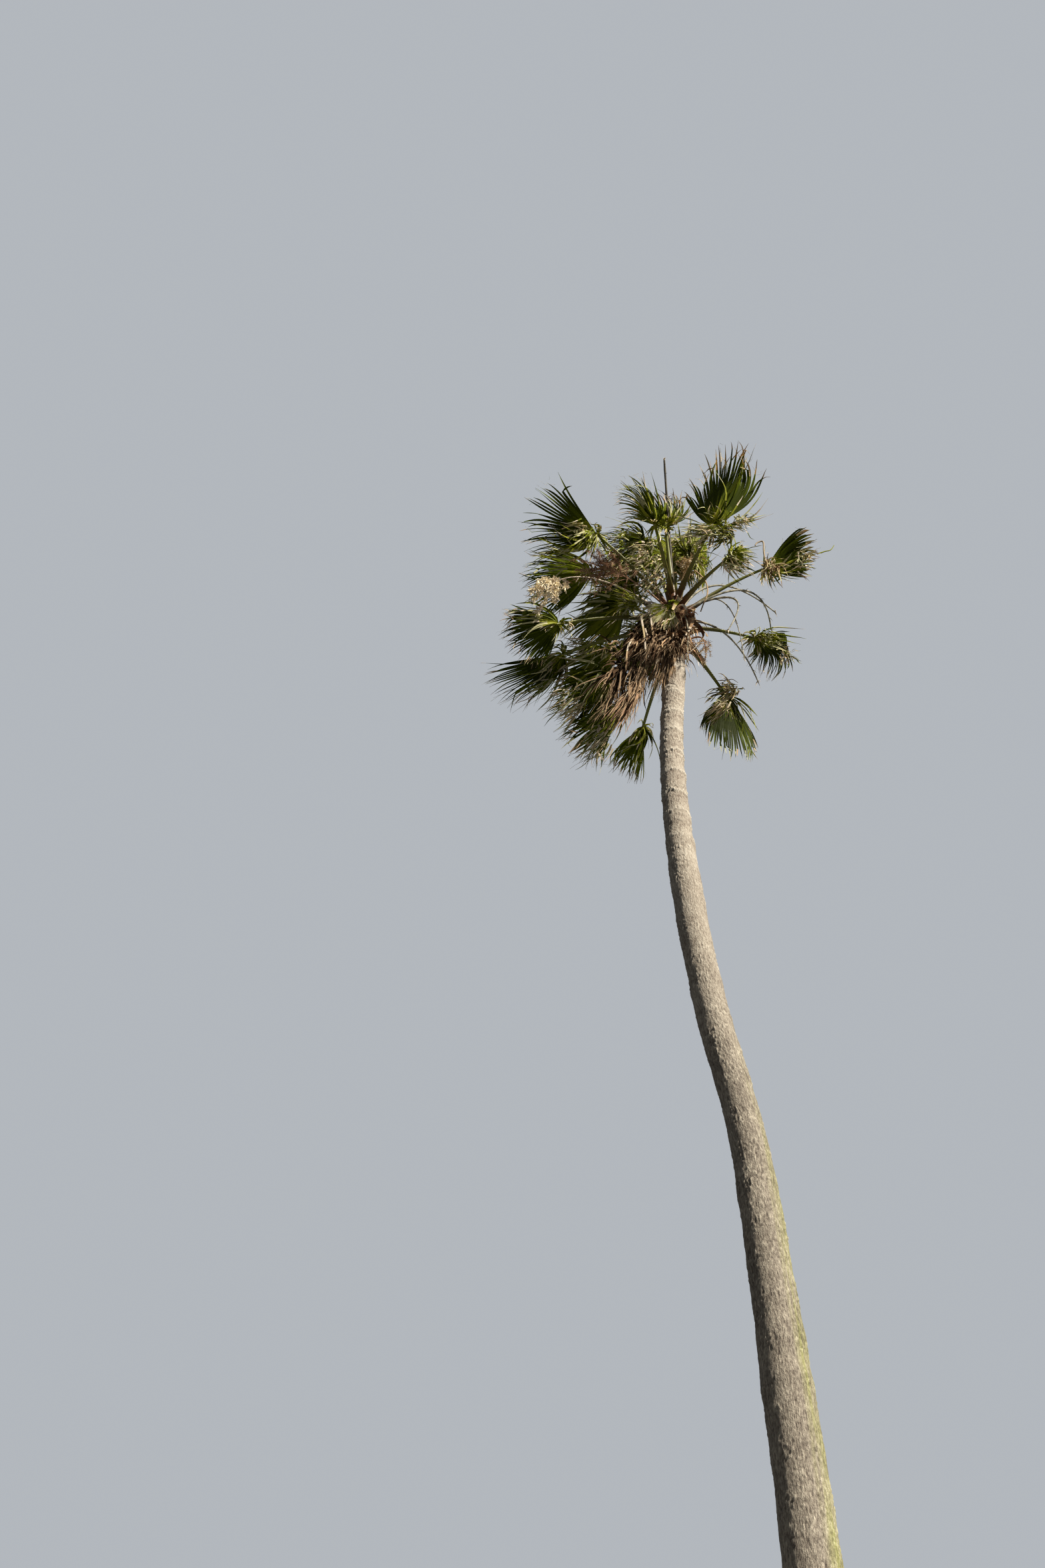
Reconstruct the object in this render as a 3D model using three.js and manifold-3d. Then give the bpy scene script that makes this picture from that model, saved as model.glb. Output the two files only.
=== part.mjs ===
// A tall fan palm: a bare ringed stem with a bend in it, a head of old leaf bases at its top,
// wind-blown fan leaves on long stalks, hanging dead leaves, flower stalks and dry panicles.
// Millimetres and degrees, +Z up, the origin on the ground in the middle of the stem's foot.
// Seen from the front, which looks along +Y, the wind blows the leaves to the left.

import * as THREE from "three";
import { mergeVertices } from "three/addons/utils/BufferGeometryUtils.js";
import Module from "manifold-3d";

const wasm = await Module();
wasm.setup();

// Heights and clearances
const STEM_HEIGHT = 21600;
const HEAD_LENGTH = 1150;
const TIP_OFFSET = -440;
const CLEARANCE = 0.3;

// The stem's middle line and diameter at even steps from the ground to its top
const STEM_OFFSETS = [0, -28, -54, -78, -98, -114, -136, -183, -259, -484, -604, -625, -505];
const STEM_DIAMETERS = [640, 560, 525, 495, 470, 448, 422, 378, 326, 308, 293, 251, 250];
const STEM_SIDES = 18;
const FOOT_RINGS = [0, 110, 250, 430, 680, 1000];
const RING_STEP = 750;
const FLARE = 200;
const FLARE_HEIGHT = 350;
const SWELLING = 0.012;
const SWELLING_PITCH = 1900;

// The head of leaf bases: its radius at these depths below the growing point
const HEAD_DEPTHS = [0, 100, 250, 450, 700, 950, 1150];
const HEAD_RADII = [30, 90, 135, 165, 175, 150, 125];
const HEAD_SIDES = 14;

// Leaf stalks
const STALK_SIDES = 6;
const STALK_STEPS = 4;
const STALK_BASE = { width: 84, depth: 52 };
const STALK_TIP = { width: 34, depth: 26 };
const STALK_OVERRUN = 25;
const BASE_SINK = 60;

// Fans
const BLADE_THICKNESS = 12;
const FAN_STEPS = 12;
const FEWEST_RIBS = 6;
const SPREAD_PER_RIB = 32;
const DEAD_RIBS = 6;
const FAN_HUB = 0.012;
const FAN_MIDDLE = 0.24;
const FAN_CUT = 0.5;
const LEAFLET_STATIONS = [
  { reach: 0.68, width: 0.66 },
  { reach: 0.86, width: 0.36 },
];
const SIDE_LEAFLET_LENGTH = 0.45;
const SIDE_LEAFLET_FALL = 0.8;

// Flower stalks and panicles
const TWIG_SIDES = 3;
const TWIG_STEPS = 3;
const FLOWER_STALK_SIDES = 5;
const FLOWER_STALK_STEPS = 8;
const TWIG_WIDTH = 12;
const BLOSSOM_WIDTH = 54;

const COLOURS = {
  stem: 0xa3978a,
  base: 0x6b4a2f,
  stalk: 0x6f7a2c,
  leaf: 0x46551c,
  dead: 0x8a7258,
  flowerStalk: 0x9b9583,
  panicle: 0xc9b48c,
  dryPanicle: 0x7d5c45,
};

// Leaves. `drop` is how far below the growing point the stalk starts; `heading` (from +X towards
// +Y) and `rise` are the way from there to the fan's hub. `fan` is how the fan lies, `spread` how
// far it opens to each side, and `blown` the way that its loose leaflets are bent.
const LEAVES = [
  { drop: 150, heading: -147, rise: 37, stalk: 1180, length: 1000, spread: [36, 55], fold: 15,
    fan: { heading: -160, rise: 13, roll: -41 }, blown: { heading: 180, rise: 0, by: 0.6 } },
  { drop: 300, heading: -175, rise: 45, stalk: 1120, length: 920, spread: [35, 45], fold: 15,
    fan: { heading: 176, rise: 9, roll: -54 }, blown: { heading: 172, rise: -5, by: 0.5 } },
  { drop: 450, heading: 150, rise: 19, stalk: 1360, length: 1060, spread: [20, 55], fold: 15,
    fan: { heading: 166, rise: -21, roll: -38 }, blown: { heading: 167, rise: -8, by: 0.8 } },
  { drop: 50, heading: -70, rise: 1, stalk: 1050, length: 1040, spread: [50, 52], fold: 12,
    fan: { heading: -66, rise: 31, roll: 3 }, blown: { heading: -84, rise: 33, by: 0.35 } },
  { drop: 250, heading: -10, rise: 35, stalk: 1200, length: 780, spread: [32, 32], fold: 15,
    fan: { heading: -19, rise: 12, roll: 11 }, blown: { heading: -61, rise: 30, by: 0.6 } },
  { drop: 520, heading: 58, rise: 8, stalk: 1100, length: 840, spread: [75, 40], fold: 20,
    fan: { heading: 54, rise: -62, roll: 13 }, blown: { heading: 100, rise: -33, by: 0.7 } },
  { drop: 420, heading: 27, rise: 24, stalk: 1050, length: 780, spread: [60, 35], fold: 25,
    fan: { heading: 31, rise: -47, roll: 21 }, blown: { heading: 98, rise: -53, by: 0.8 } },
  { drop: 400, heading: -165, rise: -25, stalk: 1350, length: 760, spread: [35, 50], fold: 20,
    fan: { heading: -177, rise: -10, roll: -54 }, blown: { heading: 167, rise: -8, by: 0.6 } },
  { drop: 500, heading: 127, rise: 17, stalk: 1000, length: 860, spread: [45, 45], fold: 20,
    fan: { heading: 158, rise: -26, roll: -31 }, blown: { heading: 119, rise: -30, by: 1.0 } },
  { drop: 600, heading: 118, rise: 5, stalk: 1100, length: 880, spread: [22, 28], fold: 25,
    fan: { heading: 151, rise: -35, roll: -20 }, blown: { heading: 140, rise: -23, by: 0.5 } },
  { drop: 680, heading: 103, rise: 2, stalk: 1180, length: 720, spread: [25, 30], fold: 25,
    fan: { heading: 115, rise: -57, roll: -5 }, blown: { heading: 114, rise: -31, by: 0.5 } },
  { drop: 0, heading: -104, rise: 0, stalk: 1050, length: 800, spread: [25, 50], fold: 20,
    fan: { heading: -148, rise: 31, roll: -38 }, blown: { heading: -176, rise: 3, by: 0.9 } },
  { drop: 100, heading: -98, rise: 66, stalk: 1050, length: 850, spread: [90, 90], fold: 20,
    fan: { heading: 54, rise: 86, roll: 120 }, blown: { heading: -84, rise: 33, by: 0.5 } },
  { drop: 200, heading: -58, rise: -15, stalk: 980, length: 620, spread: [90, 90], fold: 30,
    fan: { heading: 33, rise: 48, roll: 34 }, blown: { heading: 55, rise: -28, by: 0.9 } },
  { drop: 420, heading: 132, rise: 28, stalk: 800, length: 850, spread: [20, 45], fold: 20,
    fan: { heading: 163, rise: 7, roll: -63 }, blown: { heading: 159, rise: -13, by: 0.5 } },
  { drop: 350, heading: 155, rise: 56, stalk: 800, length: 880, spread: [30, 60], fold: 20,
    fan: { heading: 158, rise: -2, roll: -81 }, blown: { heading: 150, rise: -18, by: 0.7 } },
  { drop: 50, heading: -140, rise: 69, stalk: 1000, length: 750, spread: [50, 70], fold: 20,
    fan: { heading: 170, rise: 37, roll: -71 }, blown: { heading: 163, rise: -11, by: 0.8 } },
  { drop: 20, heading: 60, rise: 84, stalk: 1050, length: 750, spread: [110, 110], fold: 20,
    fan: { heading: -90, rise: 73, roll: -20 }, blown: { heading: 90, rise: -33, by: 1.0 } },
  { drop: 100, heading: -178, rise: 71, stalk: 950, length: 700, spread: [100, 100], fold: 20,
    fan: { heading: 171, rise: 60, roll: -88 }, blown: { heading: 135, rise: -25, by: 1.0 } },
  { drop: 60, heading: -8, rise: 74, stalk: 950, length: 720, spread: [110, 110], fold: 20,
    fan: { heading: -8, rise: 71, roll: 28 }, blown: { heading: 78, rise: -33, by: 1.2 } },
  { drop: 350, heading: 100, rise: 49, stalk: 1050, length: 850, spread: [80, 80], fold: 20,
    fan: { heading: 142, rise: 23, roll: -54 }, blown: { heading: 140, rise: -23, by: 0.8 } },
  { drop: 200, heading: 140, rise: 62, stalk: 1000, length: 850, spread: [80, 80], fold: 20,
    fan: { heading: 162, rise: 38, roll: -63 }, blown: { heading: 140, rise: -23, by: 0.8 } },
];

// The small leaf that hangs in front of the head, short enough to be one piece
const SMALL_LEAF = {
  drop: 120, heading: -120, rise: -55, stalk: 450, length: 420, spread: [100, 100], fold: 10,
  fan: { heading: -74, rise: -86, roll: 162 }, blown: { heading: 90, rise: -33, by: 0.8 },
};

// Dead leaves, which hang close to the stem
const DEAD_LEAVES = [
  { drop: 650, heading: -160, rise: -56, stalk: 500, length: 620, spread: [25, 25], fold: 30,
    fan: { heading: 180, rise: -75, roll: 0 }, blown: { heading: 180, rise: -60, by: 0.6 } },
  { drop: 760, heading: -176, rise: -55, stalk: 750, length: 900, spread: [30, 30], fold: 30,
    fan: { heading: 175, rise: -78, roll: 0 }, blown: { heading: 175, rise: -60, by: 0.6 } },
  { drop: 720, heading: -135, rise: -60, stalk: 450, length: 620, spread: [25, 25], fold: 30,
    fan: { heading: -140, rise: -80, roll: 0 }, blown: { heading: 180, rise: -70, by: 0.6 } },
  { drop: 800, heading: 150, rise: -45, stalk: 450, length: 600, spread: [25, 25], fold: 30,
    fan: { heading: 150, rise: -75, roll: 0 }, blown: { heading: 170, rise: -70, by: 0.6 } },
  { drop: 850, heading: -95, rise: -65, stalk: 300, length: 500, spread: [25, 25], fold: 30,
    fan: { heading: -100, rise: -84, roll: 0 }, blown: { heading: 180, rise: -70, by: 0.5 } },
];

// Bare flower stalks: they leave the head along `heading` and `rise` and end at `reach` along `end`
const FLOWER_STALKS = [
  { drop: 150, heading: 10, rise: 55, reach: 1300, end: { heading: 19, rise: 22 } },
  { drop: 230, heading: 36, rise: 52, reach: 1250, end: { heading: 26, rise: 19 } },
  { drop: 300, heading: 50, rise: 35, reach: 1450, end: { heading: 49, rise: 12 } },
  { drop: 160, heading: -30, rise: 20, reach: 750, end: { heading: -12, rise: -50 } },
  { drop: 20, heading: -94, rise: 70, reach: 1900, end: { heading: -94, rise: 62 } },
];

// Panicles: a bowed stalk with twigs along its outer part and blossoms on them
const PANICLES = [
  { drop: 250, heading: -160, rise: 30, reach: 1500, end: { heading: -155, rise: -14 }, twigs: 10,
    twigLength: 260, droop: 0.5, seed: 11, colour: COLOURS.panicle },
  { drop: 200, heading: -142, rise: 20, reach: 1050, end: { heading: -140, rise: -10 }, twigs: 10,
    twigLength: 300, droop: 0.2, seed: 12, colour: COLOURS.dryPanicle },
];

// The youngest leaf, still closed
const SPEAR = { heading: -150, rise: 84, length: 950, width: 60, tipWidth: 12, sides: 6 };

const GOLDEN_ANGLE = 137.5;

const radians = THREE.MathUtils.degToRad;

/** A unit vector along a heading (from +X towards +Y) and a rise above level. */
function direction({ heading, rise }) {
  const level = Math.cos(radians(rise));
  return new THREE.Vector3(
    Math.cos(radians(heading)) * level,
    Math.sin(radians(heading)) * level,
    Math.sin(radians(rise)),
  );
}

/** Linear interpolation of `values` over the rising `places`. */
function between(places, values, place) {
  const last = places.length - 1;
  const next = places.findIndex((p) => p >= place);
  if (next === 0) return values[0];
  if (next === -1) return values[last];
  const share = (place - places[next - 1]) / (places[next] - places[next - 1]);
  return THREE.MathUtils.lerp(values[next - 1], values[next], share);
}

/** A smooth curve through evenly spaced values, at `share` of the way along them. */
function smoothed(values, share) {
  const last = values.length - 1;
  const index = THREE.MathUtils.clamp(Math.floor(share * last), 0, last - 1);
  const t = share * last - index;
  const before = values[Math.max(index - 1, 0)];
  const from = values[index];
  const to = values[index + 1];
  const after = values[Math.min(index + 2, last)];
  const leaving = (to - before) / 2;
  const arriving = (after - from) / 2;
  return from + t * (leaving + t * (3 * (to - from) - 2 * leaving - arriving
    + t * (2 * (from - to) + leaving + arriving)));
}

/** A repeatable stream of numbers from 0 to 1. */
function seeded(seed) {
  let state = seed;
  return () => {
    state = (state * 16807) % 2147483647;
    return state / 2147483647;
  };
}

/** Turn a closed three.js geometry into a solid that can be joined and cut. */
function toSolid(geometry) {
  const bare = geometry.clone();
  bare.deleteAttribute("normal");
  bare.deleteAttribute("uv");
  const welded = mergeVertices(bare, 1e-3);
  return new wasm.Manifold(new wasm.Mesh({
    numProp: 3,
    vertProperties: new Float32Array(welded.attributes.position.array),
    triVerts: new Uint32Array(welded.index.array),
  }));
}

/** The largest single body of a solid: loose scraps are dropped. */
function largestBody(solid) {
  const bodies = solid.decompose();
  return bodies.reduce((best, body) => (body.volume() > best.volume() ? body : best));
}

function toGeometry(solid) {
  const mesh = solid.getMesh();
  const geometry = new THREE.BufferGeometry();
  geometry.setAttribute("position", new THREE.BufferAttribute(mesh.vertProperties, 3));
  geometry.setIndex(new THREE.BufferAttribute(mesh.triVerts, 1));
  geometry.computeVertexNormals();
  return geometry;
}

/** Where the axis of the head lies at a depth below the growing point. */
function headAxis(drop) {
  const atStem = STEM_OFFSETS.at(-1) - TIP_OFFSET;
  return new THREE.Vector3((atStem * drop) / HEAD_LENGTH, 0, -drop);
}

/** Bend a unit cylinder along a curve; `size(t)` gives its width and depth. */
function bentCylinder(curve, sides, steps, side, size) {
  const geometry = new THREE.CylinderGeometry(0.5, 0.5, 1, sides, steps);
  const position = geometry.attributes.position;
  for (let i = 0; i < position.count; i += 1) {
    const t = position.getY(i) + 0.5;
    const tangent = curve.getTangent(t);
    const across = side.clone().addScaledVector(tangent, -side.dot(tangent)).normalize();
    const depthward = across.clone().cross(tangent);
    const { width, depth } = size(t);
    const point = curve.getPoint(t)
      .addScaledVector(across, position.getX(i) * width)
      .addScaledVector(depthward, position.getZ(i) * depth);
    position.setXYZ(i, point.x, point.y, point.z);
  }
  return geometry;
}

/** A level vector square to a heading. */
function sideOf(heading) {
  return direction({ heading: heading - 90, rise: 0 });
}

/** Where a stalk starts, on the surface of the head, and where it ends. */
function stalkEnds(stalk, reach, end) {
  const radius = between(HEAD_DEPTHS, HEAD_RADII, stalk.drop);
  const start = headAxis(stalk.drop)
    .addScaledVector(direction({ heading: stalk.heading, rise: 0 }), radius);
  return { start, finish: start.clone().addScaledVector(direction(end), reach) };
}

/** The middle line of a leaf stalk, which bows upwards a little. */
function leafStalkCurve(leaf) {
  const { start, finish } = stalkEnds(leaf, leaf.stalk, leaf);
  const bow = direction({ heading: leaf.heading, rise: Math.min(85, leaf.rise + 12) });
  const middle = start.clone().addScaledVector(bow, leaf.stalk / 2);
  return new THREE.QuadraticBezierCurve3(start, middle, finish);
}

/** A curve lengthened straight on at both of its ends. */
function lengthened(curve, before, after) {
  const path = new THREE.CurvePath();
  const start = curve.getPoint(0).addScaledVector(curve.getTangent(0), -before);
  const finish = curve.getPoint(1).addScaledVector(curve.getTangent(1), after);
  path.getPoint = (t) => {
    if (t <= 0) return start.clone();
    if (t >= 1) return finish.clone();
    return curve.getPoint(t);
  };
  path.getTangent = (t) => curve.getTangent(t);
  return path;
}

function leafStalk(leaf, grow) {
  const curve = lengthened(leafStalkCurve(leaf), BASE_SINK, STALK_OVERRUN + grow);
  const size = (t) => {
    const taper = (1 - t) ** 2;
    return {
      width: THREE.MathUtils.lerp(STALK_TIP.width, STALK_BASE.width, taper) + 2 * grow,
      depth: THREE.MathUtils.lerp(STALK_TIP.depth, STALK_BASE.depth, taper) + 2 * grow,
    };
  };
  return toSolid(bentCylinder(curve, STALK_SIDES, STALK_STEPS, sideOf(leaf.heading), size));
}

/** The fan's own axes: along its middle rib, across it, and up from its upper face. */
function fanAxes({ heading, rise, roll }) {
  const along = direction({ heading, rise });
  const level = new THREE.Vector3(0, 0, 1).cross(along).normalize();
  const upright = along.clone().cross(level);
  const up = upright.multiplyScalar(Math.cos(radians(roll)))
    .addScaledVector(level, Math.sin(radians(roll)));
  return { along, across: up.clone().cross(along), up };
}

/** The points of one rib, at `angle` from the fan's middle, from the hub to its tip. */
function ribPath(leaf, hub, angle) {
  const { along, across, up } = fanAxes(leaf.fan);
  const turn = radians(angle);
  const fold = radians(leaf.fold);
  const aside = Math.sin(turn);
  const outward = along.clone().multiplyScalar(Math.cos(turn))
    .addScaledVector(across, aside * Math.cos(fold))
    .addScaledVector(up, Math.abs(aside) * Math.sin(fold))
    .normalize();
  const wind = direction(leaf.blown);
  const length = leaf.length * (SIDE_LEAFLET_LENGTH
    + (1 - SIDE_LEAFLET_LENGTH) * Math.cos(turn * SIDE_LEAFLET_FALL));
  const stiff = 0.42 * (1 - 0.5 * Math.min(1, Math.abs(angle) / 120));
  const points = [hub.clone()];
  for (let step = 0; step < FAN_STEPS; step += 1) {
    const share = (step + 0.5) / FAN_STEPS;
    const loose = Math.max(0, (share - stiff) / (1 - stiff));
    const bend = leaf.blown.by * (0.15 * share + loose ** 1.2);
    const heading = outward.clone().addScaledVector(wind, bend).normalize();
    points.push(points[step].clone().addScaledVector(heading, length / FAN_STEPS));
  }
  return points;
}

/** A point of the fan's middle surface, by angle and by share of the rib's length. */
function fanPoint(leaf, hub, angle, reach) {
  const points = ribPath(leaf, hub, angle);
  const place = reach * FAN_STEPS;
  const index = Math.min(Math.floor(place), FAN_STEPS - 1);
  return points[index].clone().lerp(points[index + 1], place - index);
}

function fanNormal(leaf, hub, angle, reach) {
  const inner = fanPoint(leaf, hub, angle, Math.max(reach - 0.04, 0));
  const outer = fanPoint(leaf, hub, angle, Math.min(reach + 0.04, 1));
  const left = fanPoint(leaf, hub, angle - 2, Math.max(reach, 0.05));
  const right = fanPoint(leaf, hub, angle + 2, Math.max(reach, 0.05));
  return outer.sub(inner).cross(right.sub(left)).normalize();
}

/** Give a sheet of triangles its thickness: two faces, and a wall along every free edge. */
function thicken(points, normals, faces, thickness) {
  const half = thickness / 2;
  const vertices = points.flatMap((point, i) => [
    point.clone().addScaledVector(normals[i], half),
    point.clone().addScaledVector(normals[i], -half),
  ]);
  const edges = new Set(faces.flatMap(([a, b, c]) => [`${a} ${b}`, `${b} ${c}`, `${c} ${a}`]));
  const indices = [];
  for (const [a, b, c] of faces) {
    indices.push(2 * a, 2 * b, 2 * c, 2 * c + 1, 2 * b + 1, 2 * a + 1);
    for (const [from, to] of [[a, b], [b, c], [c, a]]) {
      if (edges.has(`${to} ${from}`)) continue;
      indices.push(2 * to, 2 * from, 2 * from + 1, 2 * to, 2 * from + 1, 2 * to + 1);
    }
  }
  const geometry = new THREE.BufferGeometry().setFromPoints(vertices);
  geometry.setIndex(indices);
  return geometry;
}

/**
 * A fan blade: joined out to `FAN_CUT`, then cut to the rib into leaflets with pointed ends.
 * `grow` widens it on every side, in its thickness, at its edges and at its tips.
 */
function fanBlade(leaf, ribs, grow) {
  const hub = leafStalkCurve(leaf).getPoint(1);
  const [clockwise, counter] = leaf.spread;
  const half = (clockwise + counter) / ribs / 2;
  const longer = grow / leaf.length;
  const wider = (reach) => THREE.MathUtils.radToDeg(longer / reach);
  const points = [];
  const normals = [];
  const faces = [];
  const add = (angle, reach) => {
    points.push(fanPoint(leaf, hub, angle, reach));
    normals.push(fanNormal(leaf, hub, angle, reach));
    return points.length - 1;
  };
  const quad = (a, b, c, d) => faces.push([a, d, c], [a, c, b]);
  const sheet = [];
  for (let edge = 0; edge <= ribs; edge += 1) {
    const end = { 0: -1, [ribs]: 1 }[edge] ?? 0;
    const reaches = [FAN_HUB - longer, FAN_MIDDLE, FAN_CUT + longer];
    sheet.push(reaches.map((reach) => add(-counter + 2 * half * edge + end * wider(reach), reach)));
  }
  for (let rib = 0; rib < ribs; rib += 1) {
    const middle = -counter + half * (2 * rib + 1);
    const [left, right] = [sheet[rib], sheet[rib + 1]];
    quad(left[0], right[0], right[1], left[1]);
    quad(left[1], right[1], right[2], left[2]);
    let [innerLeft, innerRight] = [left[2], right[2]];
    for (const { reach, width } of LEAFLET_STATIONS) {
      const outerLeft = add(middle - half * width - wider(reach), reach);
      const outerRight = add(middle + half * width + wider(reach), reach);
      quad(innerLeft, innerRight, outerRight, outerLeft);
      [innerLeft, innerRight] = [outerLeft, outerRight];
    }
    faces.push([innerLeft, add(middle, 1 + 2 * longer), innerRight]);
  }
  return toSolid(thicken(points, normals, faces, BLADE_THICKNESS + 2 * grow));
}

function ribCount({ spread }) {
  return Math.round(FEWEST_RIBS + (spread[0] + spread[1]) / SPREAD_PER_RIB);
}

/** A leaf in one piece: its stalk and fan joined. */
function wholeLeaf(leaf, ribs, grow) {
  return leafStalk(leaf, grow).add(fanBlade(leaf, ribs, grow));
}

/** The bowed middle line of a flower stalk. */
function flowerStalkCurve(stalk) {
  const { start, finish } = stalkEnds(stalk, stalk.reach, stalk.end);
  const middle = start.clone().addScaledVector(direction(stalk), stalk.reach * 0.55);
  return new THREE.QuadraticBezierCurve3(start, middle, finish);
}

function flowerStalk(stalk, grow) {
  const curve = lengthened(flowerStalkCurve(stalk), BASE_SINK, grow);
  const size = (t) => {
    const width = THREE.MathUtils.lerp(30, 14, t) + 2 * grow;
    return { width, depth: width };
  };
  const side = sideOf(stalk.heading);
  return toSolid(bentCylinder(curve, FLOWER_STALK_SIDES, FLOWER_STALK_STEPS, side, size));
}

/** A panicle: twigs leave the outer half of its stalk in turn, each swollen by its blossoms. */
function panicle(stalk, grow) {
  const random = seeded(stalk.seed);
  const curve = flowerStalkCurve(stalk);
  let solid = flowerStalk(stalk, grow);
  for (let i = 0; i < stalk.twigs; i += 1) {
    const root = curve.getPoint(0.55 + (0.43 * i) / (stalk.twigs - 1));
    const turn = i * GOLDEN_ANGLE;
    const outward = direction({ heading: turn, rise: 10 + 30 * random() })
      .multiplyScalar(0.8).add(curve.getTangent(1)).normalize();
    const length = stalk.twigLength * (0.7 + 0.6 * random());
    const middle = root.clone().addScaledVector(outward, length / 2);
    const end = root.clone().addScaledVector(outward, length);
    end.z -= length * stalk.droop;
    const twig = new THREE.QuadraticBezierCurve3(root, middle, end);
    const size = (t) => {
      const width = (t > 0 && t < 1 ? BLOSSOM_WIDTH : TWIG_WIDTH) + 2 * grow;
      return { width, depth: width };
    };
    const side = sideOf(turn + 17);
    solid = solid.add(toSolid(bentCylinder(twig, TWIG_SIDES, TWIG_STEPS, side, size)));
  }
  return solid;
}

function stemRadius(height) {
  const share = height / STEM_HEIGHT;
  const swelling = 1 + SWELLING * Math.sin((2 * Math.PI * height) / SWELLING_PITCH);
  const flare = FLARE * Math.exp(-height / FLARE_HEIGHT);
  return (smoothed(STEM_DIAMETERS, share) * swelling + flare) / 2;
}

/** The stem: a lathed profile whose rings are moved sideways onto the middle line. */
function stem() {
  const top = STEM_HEIGHT - CLEARANCE;
  const heights = [...FOOT_RINGS];
  while (heights.at(-1) + RING_STEP * 1.5 < top) heights.push(heights.at(-1) + RING_STEP);
  heights.push(top);
  const profile = heights.map((height) => new THREE.Vector2(stemRadius(height), height));
  const outline = [new THREE.Vector2(0, 0), ...profile, new THREE.Vector2(0, top)];
  const geometry = new THREE.LatheGeometry(outline, STEM_SIDES).rotateX(Math.PI / 2);
  const position = geometry.attributes.position;
  for (let i = 0; i < position.count; i += 1) {
    const share = position.getZ(i) / STEM_HEIGHT;
    position.setX(i, position.getX(i) + smoothed(STEM_OFFSETS, share));
  }
  return toSolid(geometry);
}

function head(grow) {
  const profile = HEAD_DEPTHS.map((drop, i) => new THREE.Vector2(HEAD_RADII[i] + grow, -drop));
  const outline = [new THREE.Vector2(0, -HEAD_LENGTH), ...profile.reverse(), new THREE.Vector2(0, grow)];
  const geometry = new THREE.LatheGeometry(outline, HEAD_SIDES).rotateX(Math.PI / 2);
  const position = geometry.attributes.position;
  for (let i = 0; i < position.count; i += 1) {
    position.setX(i, position.getX(i) + headAxis(-position.getZ(i)).x);
  }
  return toSolid(geometry);
}

function spearLeaf(grow) {
  const start = new THREE.Vector3(0, 0, -HEAD_RADII[0]);
  const finish = start.clone().addScaledVector(direction(SPEAR), SPEAR.length);
  const curve = new THREE.LineCurve3(start, finish);
  const size = (t) => {
    const width = THREE.MathUtils.lerp(SPEAR.width, SPEAR.tipWidth, t) + 2 * grow;
    return { width, depth: width };
  };
  return toSolid(bentCylinder(curve, SPEAR.sides, 3, sideOf(SPEAR.heading), size));
}

const palm = new THREE.Group();
const crown = new THREE.Group();
crown.position.set(TIP_OFFSET, 0, STEM_HEIGHT + HEAD_LENGTH);
palm.add(crown);

function addMesh(group, name, solid, color, roughness) {
  const material = new THREE.MeshStandardMaterial({ color, roughness, metalness: 0 });
  const mesh = new THREE.Mesh(toGeometry(solid), material);
  mesh.name = name;
  group.add(mesh);
}

// What already stands in the crown, each a little larger than it is
const standing = [];

function boxesMeet(a, b) {
  const one = a.boundingBox();
  const two = b.boundingBox();
  return [0, 1, 2].every((axis) => one.min[axis] < two.max[axis] && two.min[axis] < one.max[axis]);
}

/** Add one piece to the crown, cut clear of everything that stands there already. */
function addToCrown(name, shape, color, roughness) {
  let solid = shape(0);
  for (const other of standing) {
    if (boxesMeet(solid, other) && solid.intersect(other).volume() > 0) {
      solid = largestBody(solid.subtract(other));
    }
  }
  standing.push(shape(CLEARANCE));
  addMesh(crown, name, solid, color, roughness);
}

const numbered = (name, index) => `${name}_${String(index + 1).padStart(2, "0")}`;

addMesh(palm, "stem", stem(), COLOURS.stem, 0.95);
addToCrown("head_of_leaf_bases", head, COLOURS.base, 0.95);
addToCrown("spear_leaf", spearLeaf, COLOURS.leaf, 0.6);
LEAVES.forEach((leaf, i) => {
  addToCrown(numbered("leaf_stalk", i), (grow) => leafStalk(leaf, grow), COLOURS.stalk, 0.55);
});
FLOWER_STALKS.forEach((stalk, i) => {
  const name = numbered("flower_stalk", i);
  addToCrown(name, (grow) => flowerStalk(stalk, grow), COLOURS.flowerStalk, 0.8);
});
LEAVES.forEach((leaf, i) => {
  addToCrown(numbered("fan", i), (grow) => fanBlade(leaf, ribCount(leaf), grow), COLOURS.leaf, 0.5);
});
addToCrown("small_leaf", (grow) => wholeLeaf(SMALL_LEAF, ribCount(SMALL_LEAF), grow), COLOURS.leaf, 0.5);
DEAD_LEAVES.forEach((leaf, i) => {
  const shape = (grow) => wholeLeaf(leaf, DEAD_RIBS, grow);
  addToCrown(numbered("dead_leaf", i), shape, COLOURS.dead, 0.95);
});
PANICLES.forEach((stalk, i) => {
  addToCrown(numbered("panicle", i), (grow) => panicle(stalk, grow), stalk.colour, 0.9);
});

export default palm;
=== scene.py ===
"""A tall fan palm: ringed, bent stem, wind-blown fan leaves, a ragged skirt and dry panicles.

Metres and degrees, +Z up, the origin on the ground in the middle of the stem's foot. The front
view looks along +Y with +X to the right, and the wind blows towards -X.
"""

import logging
import math
import random
from collections.abc import Callable, Sequence
from dataclasses import dataclass, field
from enum import Enum
from functools import cached_property

import bmesh
import bpy
from mathutils import Matrix, Vector, noise


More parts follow.
